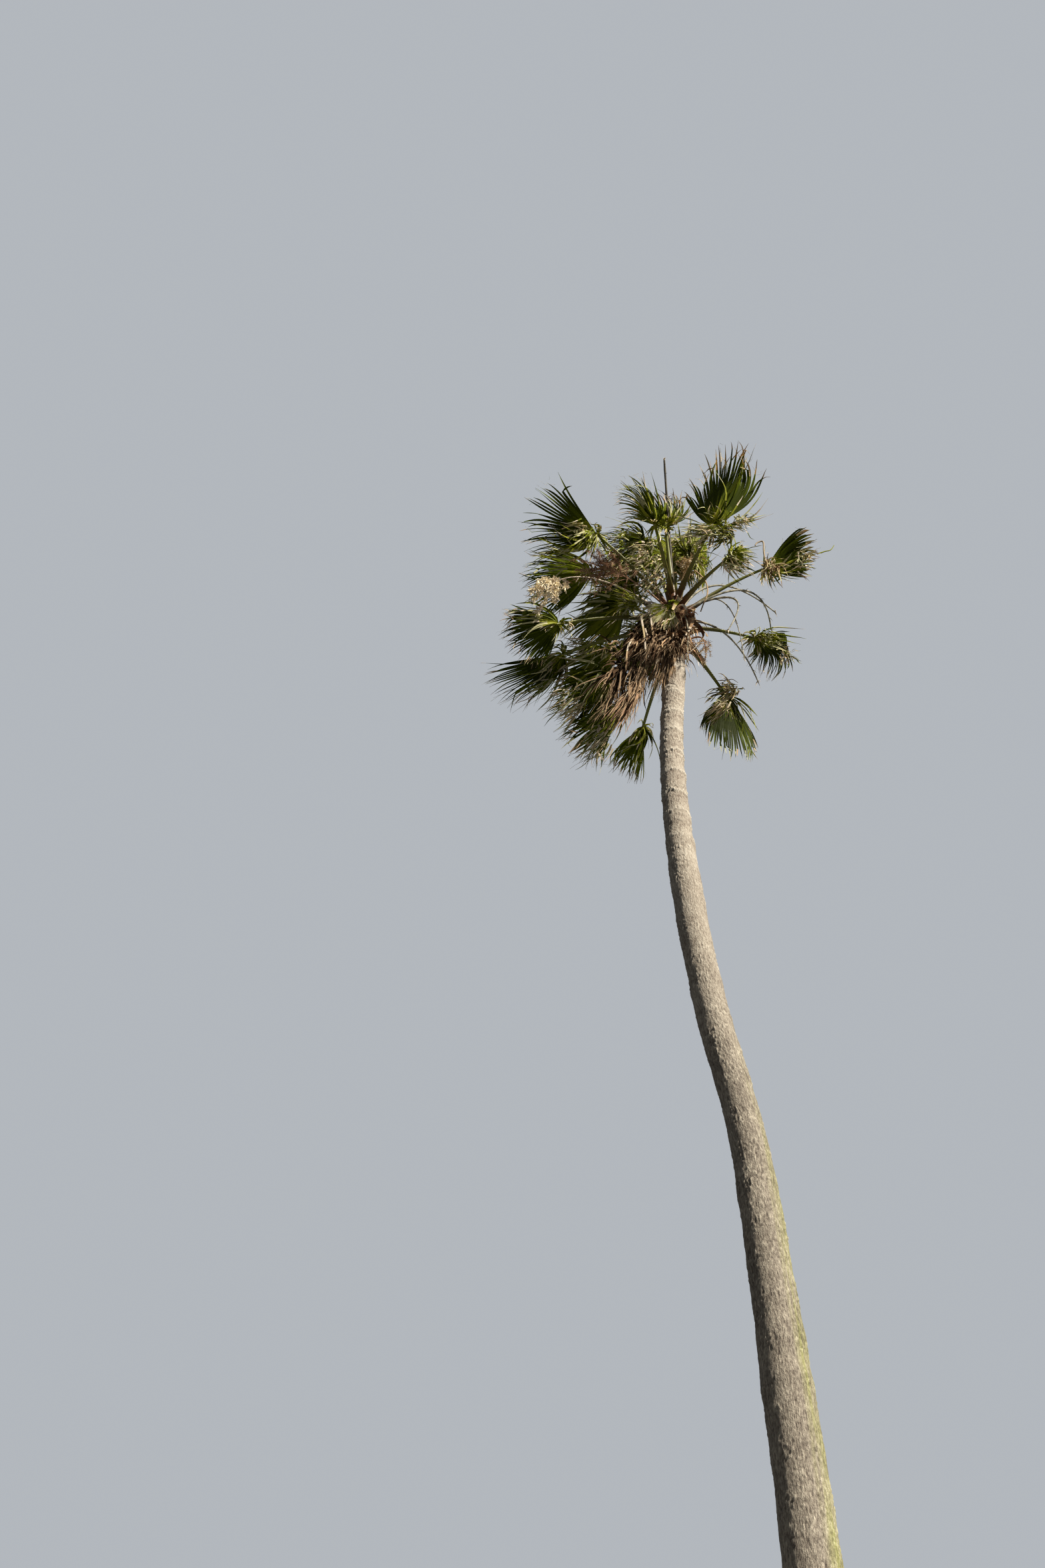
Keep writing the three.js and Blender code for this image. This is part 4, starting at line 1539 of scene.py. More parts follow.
    def leaflet(self, middle: float, half: float, cuts: tuple[float, float]) -> Loft:
        """One leaflet, from the hub to its tip.

        Args:
            middle: the angle of its middle rib.
            half: degrees from there to its edges.
            cuts: how far out it is joined to its neighbours, on its first and its second side.

        Returns:
            The leaflet.
        """
        rib = self.rib(middle)
        edges = (self.rib(middle - half), self.rib(middle + half))
        habit = self.habit(middle)
        free_from = max(cuts)
        rings = []
        for row, (centre, forward) in enumerate(self.spine(rib, free_from, habit)):
            reach = self.reach(row)
            free = max(0.0, (reach - free_from) / (1 - free_from))
            valleys = [along_path(edge, min(reach, cut)) - along_path(rib, min(reach, cut))
                       for edge, cut in zip(edges, cuts)]
            side = (valleys[1] - valleys[0]).normalized()
            side = (side - forward * side.dot(forward)).normalized()
            side = Matrix.Rotation(habit.twist * free, 3, forward) @ side
            tips = []
            for valley, cut, sign in zip(valleys, cuts, (-1, 1)):
                out = max(0.0, (reach - cut) / (1 - cut))
                narrowing = max(0.06, 1 - out ** habit.taper) * (1 - 0.10 * smooth_step(0, 0.2, out))
                loose = min(1.0, out * 8)
                tips.append(centre + valley.lerp(side * sign * valley.length, loose) * narrowing)
            up = forward.cross(side)
            wide = (tips[1] - tips[0]).length / 2
            crease = up * wide * self.pleat * (1 + 0.8 * smooth_step(0, 0.3, free))
            rings.append([tips[0], centre + crease, tips[1], centre + crease - up * self.thickness])
        return Loft(rings, self.leaflet_tints(middle, habit.kink_at))

    def leaflet_tints(self, angle: float, kink_at: float) -> list[Tint]:
        """The tints of a leaflet's bands.

        Args:
            angle: the angle of its rib.
            kink_at: how far out it is kinked and shows its pale back.

        Returns:
            The tints, from the painted glow of light through the blade near the hub to the dry tip.
        """
        mood = self.plan.mood
        own, tip = self.rng.choice(mood.joined), self.rng.choice(mood.tips)
        # The first rows take the mood's middle tint, a painted glow of light shining through the blade
        glow = self.rng.uniform(0.03, 0.24) * (1 - 0.5 * abs(angle) / 120) * self.rows
        dry = self.rng.gauss(self.plan.dry, 0.07) * self.rows
        loose = self.rng.choice(mood.loose)
        turn = self.rng.uniform(0.40, 0.75) * self.rows
        pale = kink_at * self.rows if self.rng.random() < 0.6 else self.rows
        tints, now = [], mood.middle
        for row in range(self.rows):
            if row > min(dry, pale):
                now = tip
            else:
                now = toned(now, mood.middle if row < glow else own if row < turn else loose)
            tints.append(now)
        return tints

    def leaflets(self) -> list[Loft]:
        """Every leaflet across the spread.

        Returns:
            The leaflets, each joined to the next as far out as it is to the one before.
        """
        clockwise, counter = self.plan.spread
        count = round((clockwise + counter) / self.plan.pitch)
        step = (clockwise + counter) / count
        cuts = [self.rng.uniform(*self.plan.joined) for _ in range(count + 1)]
        return [self.leaflet(-counter + step * (index + 0.5), step / 2, (cuts[index], cuts[index + 1]))
                for index in range(count)]

    def loose_blade(self, outward: Vector, towards: Vector, length: float, width: float,
                    tints: Sequence[Tint], sway: float) -> Loft:
        """A leaflet that has left the fan's face.

        Args:
            outward: the way that it leaves the hub.
            towards: the way that it is bent.
            length: its length.
            width: its width.
            tints: its tints, unless the leaf is dead.
            sway: how far it swings to and fro.

        Returns:
            The leaflet.
        """
        points = blown_path(self.hub, outward.normalized(), towards.normalized(), length,
                            0.06, 2.4, shaken(self.rng, sway), 10)
        if self.plan.mood is Mood.DEAD:
            tints = [self.rng.choice(self.plan.mood.joined) for _ in range(3)]

        def across(share: float) -> float:
            """The width at a share of the length: narrow at the hub and at the tip."""
            return max(width * (0.4 + 0.6 * smooth_step(0, 0.3, share)) * (1 - share ** 2.2), 0.0012)

        return blade(points, self.across, across, tints, 0.3, self.rng.uniform(-220, 220))

    def folded(self) -> list[Loft]:
        """Leaflets of the windward side that are blown back across the fan, mostly under it.

        Returns:
            The leaflets.
        """
        clockwise, counter = self.plan.spread
        toward = -1 if self.outward(counter).dot(self.wind) > self.outward(-counter).dot(self.wind) else 1
        under = -self.up if self.up.z > 0 else self.up
        edge = clockwise if toward > 0 else counter
        lofts = []
        for _ in range(self.plan.folded):
            face = under if self.rng.random() < 0.75 else -under
            outward = self.outward(toward * (edge + self.rng.uniform(-25, 30)))
            outward = outward + face * self.rng.uniform(0.2, 0.6)
            across = self.outward(-toward * self.rng.uniform(-15, 75))
            towards = across + face * 0.10 - UP * self.rng.uniform(0, 0.5) + shaken(self.rng, 0.15)
            # The pale tints are partly the leaflets' pale backs and partly painted sunlit highlight
            tints = (self.rng.choice((Tint.MOSS, Tint.FRESH, Tint.OLIVE)),
                     self.rng.choice((Tint.SHEEN, Tint.FRESH, Tint.MOSS, Tint.SHEEN)),
                     self.rng.choice((Tint.SHEEN, Tint.BARE, Tint.FRESH)))
            outward = outward + shaken(self.rng, 0.15)
            length = self.plan.length * self.rng.uniform(0.45, 0.95)
            width = self.rng.uniform(*self.folded_width)
            lofts.append(self.loose_blade(outward, towards, length, width, tints, 0.3))
        return lofts

    def hanging(self) -> list[Loft]:
        """Crumpled leaflets that hang from the hub, longer on a dead leaf.

        Returns:
            The leaflets.
        """
        longer = 1.7 if self.plan.mood is Mood.DEAD else 1
        lofts = []
        for _ in range(self.plan.hanging):
            outward = self.outward(self.rng.uniform(-170, 170)) + UP * self.rng.uniform(-0.6, 0.2)
            down = self.wind * self.rng.uniform(0.1, 0.9) - UP
            # The pale tints are partly dry straw colour and partly painted sunlit highlight
            tints = (self.rng.choice((Tint.MOSS, Tint.FRESH, Tint.FRESH)),
                     self.rng.choice((Tint.STRAW, Tint.SHEEN, Tint.FRESH, Tint.SHEEN, Tint.MOSS)),
                     self.rng.choice((Tint.STRAW, Tint.SHEEN, Tint.BARE)))
            length = self.plan.length * self.rng.uniform(0.14, 0.45) * longer
            width = self.rng.uniform(*self.hanging_width)
            lofts.append(self.loose_blade(outward, down, length, width, tints, 0.6))
        return lofts

    def threads(self) -> list[Loft]:
        """The pale threads that curl between the leaflets.

        Returns:
            The threads.
        """
        clockwise, counter = self.plan.spread
        lofts = []
        for _ in range(round((clockwise + counter) / self.plan.pitch)):
            start = along_path(self.rib(self.rng.uniform(-counter, clockwise)), self.rng.uniform(0.5, 0.95))
            points = blown_path(start, shaken(self.rng, 1).normalized(), self.wind - UP * 0.5,
                                self.rng.uniform(*self.thread_length), 0.1, 1.5, shaken(self.rng, 0.9), 6)
            lofts.append(tube(points, lambda v: self.thread_radius * (1.1 - v), Tint.STRAW, 3))
        return lofts

    def costa(self) -> Loft:
        """The stalk's end, which runs on into the blade as a tapering rib.

        Returns:
            The rib.
        """
        rib = self.rib(0)
        points = [along_path(rib, 0.05 * step) - self.up * 0.004 for step in range(8)]
        tint = Tint.DRY if self.plan.mood is Mood.DEAD else Tint.FRESH
        return tube(points, lambda v: self.costa_radius * (1.06 - v), tint, 6)

    def build(self, name: str, slot: Slot = Slot.LEAF) -> None:
        """Build and dress the fan.

        Args:
            name: the node that it stands for.
            slot: the record's material slot.
        """
        piece = Piece(f"{name}_blade", slot, name)
        for _ in range(self.plan.layers):
            piece.add(self.leaflets())
            self.seed += 50
            self.ribs.clear()
        piece.add(self.folded() + self.hanging())
        piece.add(self.threads())
        piece.add([self.costa()])
        if self.stalk:
            piece.add([LeafStalk(self.plan).skin(self.stalk)])
        piece.finish()


@dataclass
class SpearLeaf:
    """The youngest leaf, still closed: pleats pressed together round a thin core."""

    way: Way = Way(-150, 84)
    length: float = 0.95
    width: float = 0.060
    pleats: int = 16
    pleat_width: float = 0.022
    steps: int = 12

    def build(self) -> None:
        """Build and dress the leaf."""
        rng = random.Random(5)
        start = TIP - UP * HEAD_RADII[0]
        along = self.way.vector()
        core = [start + along * self.length * step / self.steps for step in range(self.steps + 1)]
        piece = Piece("closed_spear", Slot.LEAF, "spear_leaf")
        piece.add([tube(core, lambda v: self.width / 2 * (0.75 - 0.68 * v), Tint.OLIVE, 8)])
        lofts = []
        for out in compass(self.pleats):
            reach = rng.uniform(0.8, 1)
            points = [start + along * self.length * reach * step / self.steps
                      + out * self.width * 0.36 * (1 - step / (self.steps + 1))
                      for step in range(self.steps + 1)]
            points[-1] += out * rng.uniform(0, 0.02)
            tints = (Tint.MOSS, Tint.OLIVE,
                     rng.choice((Tint.MOSS, Tint.FRESH)),
                     rng.choice((Tint.FRESH, Tint.STRAW)))
            lofts.append(blade(points, along.cross(out), lambda v: self.pleat_width * (1.05 - v), tints,
                               0.45))
        piece.add(lofts)
        piece.finish()


@dataclass
class Foliage:
    """The crown's leaves."""

    green: tuple[LeafPlan, ...] = LEAVES
    small: LeafPlan = SMALL_LEAF
    dead: tuple[LeafPlan, ...] = DEAD_LEAVES

    def build(self) -> None:
        """Build every leaf, green and dead."""
        for number, plan in enumerate(self.green, 1):
            LeafStalk(plan).build(f"leaf_stalk_{number:02d}")
            Fan(plan, 100 + number).build(f"fan_{number:02d}")
        SpearLeaf().build()
        Fan(self.small, 200, Tint.MOSS).build("small_leaf")
        for number, plan in enumerate(self.dead, 1):
            Fan(plan, 300 + number, Tint.TAN).build(f"dead_leaf_{number:02d}", Slot.DEAD_LEAF)


@dataclass
class FlowerStalk:
    """A bare old flower stalk: jointed, with short stubs of broken branches and dry curls at its end."""

    plan: StalkPlan
    seed: int
    thick: tuple[float, float] = (0.030, 0.014)
    skin: Mottled = BARE_STALK
    curls: int = 3
    stubs: int = 9
    joints: float = 34
    swelling: float = 0.22

    def stub_lofts(self, curve: Bow, rng: random.Random) -> list[Loft]:
        """The stubs of broken branches.

        Args:
            curve: the stalk's middle line.
            rng: the source of random draws.

        Returns:
            The stubs.
        """
        lofts = []
        for index in range(self.stubs):
            t = 0.35 + 0.62 * index / self.stubs
            out = Way(index * GOLDEN_ANGLE, rng.uniform(-20, 60)).vector() + curve.tangent(t)
            length = rng.uniform(0.02, 0.09)
            path = blown_path(curve.point(t), out.normalized(), -UP, length, 0.1, 0.6, steps=4)
            lofts.append(tube(path, lambda v: 0.005 * (1.1 - v), Tint.ASH, 5))
        return lofts

    def curl_lofts(self, curve: Bow, rng: random.Random) -> list[Loft]:
        """The dry curls at the stalk's end.

        Args:
            curve: the stalk's middle line.
            rng: the source of random draws.

        Returns:
            The curls.
        """
        lofts = []
        for _ in range(self.curls):
            out = curve.tangent(1) + shaken(rng, 0.6)
            length = rng.uniform(0.05, 0.13)
            path = blown_path(curve.finish, out.normalized(), -UP, length, 0.05, 2.5, steps=8)
            lofts.append(blade(path, UP.cross(out), lambda v: 0.016 * (1.05 - v), (Tint.BARE,), 0.3, 90))
        return lofts

    def build(self, name: str, node: str | None = None) -> None:
        """Build and dress the stalk.

        Args:
            name: the piece's name.
            node: the node that it stands for, or None.
        """
        rng = random.Random(self.seed)
        curve = flower_stalk_curve(self.plan)
        piece = Piece(name, Slot.FLOWER_STALK, *([node] if node else []))
        low, high = self.thick

        def radius(share: float) -> float:
            """The radius at a share of the length, thicker at the joints."""
            joint = 1 + self.swelling * max(0.0, math.cos(share * self.joints)) ** 6
            return (low + (high - low) * share) * joint / 2

        piece.add([tube(evenly(curve, 30, 0.05), radius, Tint.ASH, 10)])
        piece.add(self.stub_lofts(curve, rng))
        piece.add(self.curl_lofts(curve, rng))
        piece.finish({Tint.ASH: self.skin.make(f"{name}_skin")}, smooth=True)


@dataclass
class Panicle:
    """A panicle: fine twigs along the outer part of a bowed stalk, with starry sprays on them."""

    plan: StalkPlan
    seed: int
    twigs: int
    twig_length: float
    droop: float
    sprays: int
    spray: float
    stalk: Tint
    tints: tuple[Tint, ...]
    strands: int = 6
    strand_radius: float = 0.0026
    thick: tuple[float, float] = (0.026, 0.010)
    first: float = 0.52

    def build(self, name: str, slot: Slot, node: str | None = None) -> None:
        """Build and dress the panicle.

        Args:
            name: the piece's name.
            slot: the record's material slot.
            node: the node that it stands for, or None.
        """
        rng = random.Random(self.seed)
        curve = flower_stalk_curve(self.plan)
        piece = Piece(name, slot, *([node] if node else []))
        low, high = self.thick
        piece.add([tube(evenly(curve, 24, 0.05), lambda v: (low + (high - low) * v) / 2, self.stalk, 8)])
        twigs, strands = [], []
        for index in range(self.twigs):
            t = self.first + (0.99 - self.first) * index / self.twigs
            out = Way(index * GOLDEN_ANGLE, rng.uniform(-10, 50)).vector() * 0.8 + curve.tangent(1)
            length = self.twig_length * rng.uniform(0.55, 1.15)
            path = blown_path(curve.point(t), out.normalized(), Way(180, -60).vector(), length, 0.1,
                              self.droop * 2, shaken(rng, 0.2), 8)
            twigs.append(tube(path, lambda v: 0.0045 * (1.15 - v), self.stalk, 4))
            for place in range(self.sprays):
                root = along_path(path, 0.25 + 0.75 * (place + rng.random()) / self.sprays)
                tint = rng.choice(self.tints)
                for _ in range(self.strands):
                    way = shaken(rng, 1).normalized()
                    strand = blown_path(root, way, -UP, self.spray * rng.uniform(0.5, 1.2), 0.1,
                                        self.droop, steps=3)
                    strands.append(tube(strand, lambda v: self.strand_radius * (1.1 - 0.6 * v), tint, 3))
        piece.add(twigs)
        piece.add(strands)
        piece.finish()


@dataclass
class Flowers:
    """The bare flower stalks and the panicles.

    Args:
        stalks: the bare stalks that have solids. The last one stands above the crown.
        thin: the thin ones that have none.
        panicles: each panicle with its piece's name, its slot and its node.
    """

    stalks: tuple[StalkPlan, ...] = FLOWER_STALKS
    thin: tuple[StalkPlan, ...] = THIN_STALKS
    panicles: tuple[tuple[Panicle, str, Slot, str | None], ...] = (
        (Panicle(CREAM_PANICLE_STALK, seed=11, twigs=15, twig_length=0.40, droop=1.0, sprays=4, spray=0.062,
                 stalk=Tint.BARE, tints=(Tint.CREAM, Tint.CREAM, Tint.BARE), strands=13,
                 strand_radius=0.0085, first=0.80),
         "cream_panicle", Slot.PANICLE, "panicle_01"),
        (Panicle(DRY_PANICLE_STALK, seed=12, twigs=40, twig_length=0.46, droop=0.3, sprays=10, spray=0.05,
                 stalk=Tint.MAUVE, tints=(Tint.MAUVE, Tint.MAUVE, Tint.TAN, Tint.RUST), strands=5),
         "brown_panicle", Slot.DRY_PANICLE, "panicle_02"),
        (Panicle(LOW_PANICLE_STALK, seed=13, twigs=12, twig_length=0.26, droop=0.8, sprays=6, spray=0.035,
                 stalk=Tint.MAUVE, tints=(Tint.TAN, Tint.ASH, Tint.STRAW), strands=5),
         "low_panicle", Slot.DRY_PANICLE, None),
        (Panicle(MIDDLE_PANICLE_STALK, seed=14, twigs=14, twig_length=0.20, droop=0.4, sprays=5, spray=0.045,
                 stalk=Tint.TAN, tints=(Tint.TAN, Tint.BARE, Tint.STRAW), strands=6, strand_radius=0.0040),
         "middle_panicle", Slot.DRY_PANICLE, None))

    def build(self) -> None:
        """Build the stalks and the panicles."""
        for number, plan in enumerate(self.stalks, 1):
            name = f"flower_stalk_{number:02d}"
            looks = ((0.040, 0.024), DARK_STALK) if number == len(self.stalks) else ()
            FlowerStalk(plan, 400 + number, *looks).build(f"{name}_skin", name)
        for number, plan in enumerate(self.thin, 1):
            stalk = FlowerStalk(plan, 420 + number, (0.020, 0.010), curls=1, stubs=3)
            stalk.build(f"thin_stalk_{number:02d}")
        for panicle, name, slot, node in self.panicles:
            panicle.build(name, slot, node)


@dataclass(frozen=True)
class Tuft:
    """Loose dry strips that hang from one place.

    Args:
        place: where they hang from.
        way: the way that they hang.
        length: their length.
        count: how many there are.
        apart: how widely their roots are spread, up to one and a half times this along each axis.
        width: their width.
        sway: how untidy they are.
        tints: their tints.
    """

    place: Triple
    way: Way
    length: float
    count: int
    apart: float
    width: float
    sway: float
    tints: tuple[Tint, ...]

    def strips(self, rng: random.Random) -> list[Loft]:
        """The tuft's strips.

        Args:
            rng: the source of random draws.

        Returns:
            The strips.
        """
        lofts = []
        way = self.way.vector()
        for _ in range(self.count):
            root = Vector(self.place) + Vector([rng.uniform(-1.5, 1.5) * self.apart for _ in range(3)])
            outward = way + shaken(rng, self.sway)
            sway = shaken(rng, self.sway * 0.7)
            length = self.length * rng.uniform(0.35, 1.05)
            points = blown_path(root, outward.normalized(), way, length, 0.05, 1.6, sway, 9)
            wide = self.width * rng.uniform(0.5, 1.3)
            tints = [rng.choice(self.tints) for _ in range(3)]
            lofts.append(blade(points, outward.orthogonal(), lambda v, w=wide: w * (1.05 - v ** 2), tints,
                               0.3, rng.gauss(0, 60 + 160 * self.sway)))
        return lofts


# The tints of dry strips, and of crumpled leaflets from greenest to palest. The two palest sets are partly
# the leaflets' own bleached colour and partly painted sunlight on strips that hang in shade.
BROWNS = (Tint.DRY, Tint.TAN, Tint.DRY, Tint.ASH, Tint.UMBER, Tint.TAN, Tint.DRY)
FADED = (Tint.SHEEN, Tint.LIME, Tint.FRESH, Tint.SHEEN, Tint.MOSS)
BLEACHED_AND_SUNLIT = (Tint.SHEEN, Tint.STRAW, Tint.BARE, Tint.SHEEN, Tint.MOSS)
PALEST_AND_SUNLIT = (Tint.SHEEN, Tint.CREAM, Tint.STRAW, Tint.TAN, Tint.MOSS)

# The torn strips that hang between and beside the dead leaves
SKIRT = (
    Tuft((-0.81, -0.14, 21.66), Way(-170, -82), 0.42, 56, 0.07, 0.018, 0.24, BROWNS),
    Tuft((-0.64, -0.2, 21.62), Way(-165, -76), 0.5, 70, 0.06, 0.018, 0.24, BROWNS),
    Tuft((-0.93, -0.12, 21.2), Way(-176, -78), 0.46, 60, 0.06, 0.018, 0.26, BROWNS),
    Tuft((-0.97, -0.12, 20.9), Way(-172, -76), 0.6, 60, 0.05, 0.016, 0.18, BROWNS),
    Tuft((-1.02, -0.1, 20.72), Way(-176, -68), 0.62, 80, 0.05, 0.014, 0.16,
         (Tint.DRY, Tint.TAN, Tint.MAUVE, Tint.DRY)),
    Tuft((-0.41, -0.17, 21.92), Way(-100, -88), 0.46, 130, 0.055, 0.015, 0.12,
         (Tint.CLAY, Tint.BARE, Tint.CLAY, Tint.TAN, Tint.RUST)),
    Tuft((-0.57, -0.13, 21.42), Way(-165, -82), 0.5, 90, 0.035, 0.014, 0.13, (*BROWNS, Tint.CLAY)),
    Tuft((-0.66, -0.12, 21.26), Way(-170, -80), 0.5, 60, 0.040, 0.014, 0.16, BROWNS),
    Tuft((-0.6, -0.3, 21.96), Way(-165, -70), 0.24, 40, 0.05, 0.014, 0.35,
         (Tint.SHEEN, Tint.STRAW, Tint.LIME)),
)

# The crumpled strips at the fans' hubs and edges, and inside the crown
HUB_TUFTS = (
    Tuft((0.11, -0.98, 22.66), Way(-165, -30), 0.36, 80, 0.06, 0.022, 0.9, FADED),
    Tuft((-0.12, -1.12, 22.51), Way(175, 5), 0.36, 44, 0.05, 0.020, 0.45, BLEACHED_AND_SUNLIT),
    Tuft((0.26, -1.1, 22.75), Way(40, 20), 0.18, 44, 0.06, 0.020, 0.6, BLEACHED_AND_SUNLIT),
    # These two hang in shade at the back of the crown, and their palest tints paint sunlight on them
    Tuft((0.25, 0.92, 22.3), Way(-165, -50), 0.28, 64, 0.05, 0.020, 0.8, PALEST_AND_SUNLIT),
    Tuft((0.14, 0.92, 21.98), Way(148, -20), 0.32, 44, 0.05, 0.018, 0.35, PALEST_AND_SUNLIT),
    Tuft((0.7, -0.32, 23.02), Way(-160, -78), 0.34, 44, 0.05, 0.022, 0.6,
         (Tint.TAN, Tint.STRAW, Tint.DRY, Tint.SHEEN)),
    Tuft((1.08, -0.3, 23.2), Way(0, 0), 0.16, 40, 0.07, 0.020, 0.9, BLEACHED_AND_SUNLIT),
    Tuft((0.68, 0.42, 22.65), Way(10, -20), 0.17, 60, 0.06, 0.020, 0.8, (*FADED, Tint.OLIVE)),
    Tuft((0.87, 0.5, 22.43), Way(-10, -60), 0.16, 36, 0.05, 0.016, 0.6, BLEACHED_AND_SUNLIT),
    Tuft((-1.4, -0.66, 23.12), Way(-172, -72), 0.42, 60, 0.06, 0.022, 0.45, FADED),
    Tuft((-1.5, -0.7, 23.29), Way(170, 10), 0.3, 24, 0.05, 0.022, 0.5, BLEACHED_AND_SUNLIT),
    Tuft((-0.94, -0.3, 22.28), Way(180, 0), 0.26, 60, 0.05, 0.020, 0.9, (*FADED, Tint.GLOW)),
    Tuft((-0.92, -0.3, 23.56), Way(180, -40), 0.34, 70, 0.1, 0.022, 0.7, FADED),
    Tuft((-0.72, -0.4, 23.13), Way(180, -50), 0.3, 80, 0.1, 0.022, 0.8, BLEACHED_AND_SUNLIT),
    Tuft((-0.68, -0.4, 22.6), Way(180, -50), 0.28, 70, 0.09, 0.020, 0.8, BLEACHED_AND_SUNLIT),
    Tuft((-0.89, -0.28, 22.35), Way(-170, 0), 0.24, 60, 0.05, 0.020, 0.9, (*FADED, Tint.GLOW)),
    Tuft((-0.78, -0.34, 21.96), Way(-170, -60), 0.26, 50, 0.06, 0.018, 0.6, BLEACHED_AND_SUNLIT),
    Tuft((-1.6, 0.72, 21.81), Way(160, -30), 0.34, 60, 0.1, 0.020, 0.5, BLEACHED_AND_SUNLIT),
    Tuft((-1.32, 0.92, 21.32), Way(160, -40), 0.34, 50, 0.1, 0.020, 0.5, BLEACHED_AND_SUNLIT),
    Tuft((0.13, -0.86, 22.3), Way(20, -20), 0.3, 50, 0.05, 0.022, 0.6, BLEACHED_AND_SUNLIT),
)


@dataclass(frozen=True)
class Ribbon:
    """A curled strip or a broken stick that runs through given places.

    Args:
        places: where it runs.
        widths: its width at its start and its end.
        tints: its tints.
        stick: whether it is round.
        nearer: how much nearer to the front view it lies than its places.
    """

    places: tuple[Triple, ...]
    widths: tuple[float, float]
    tints: tuple[Tint, ...]
    stick: bool = False
    nearer: float = 0.12

    def loft(self, steps: int = 16) -> Loft:
        """The ribbon, smoothly curved.

        Args:
            steps: the number of steps along it.

        Returns:
            The loft.
        """
        lines = tuple(zip(*self.places))
        points = [Vector([smoothed(line, step / steps) for line in lines]) + TOWARDS_VIEW * self.nearer
                  for step in range(steps + 1)]
        start, end = self.widths
        if self.stick:
            return tube(points, lambda v: (start + (end - start) * v) / 2, self.tints[0], 8)
        forward = (points[1] - points[0]).normalized()
        return blade(points, forward.cross(TOWARDS_VIEW), lambda v: start + (end - start) * v, self.tints,
                     0.22, 0, 0.003, 8)


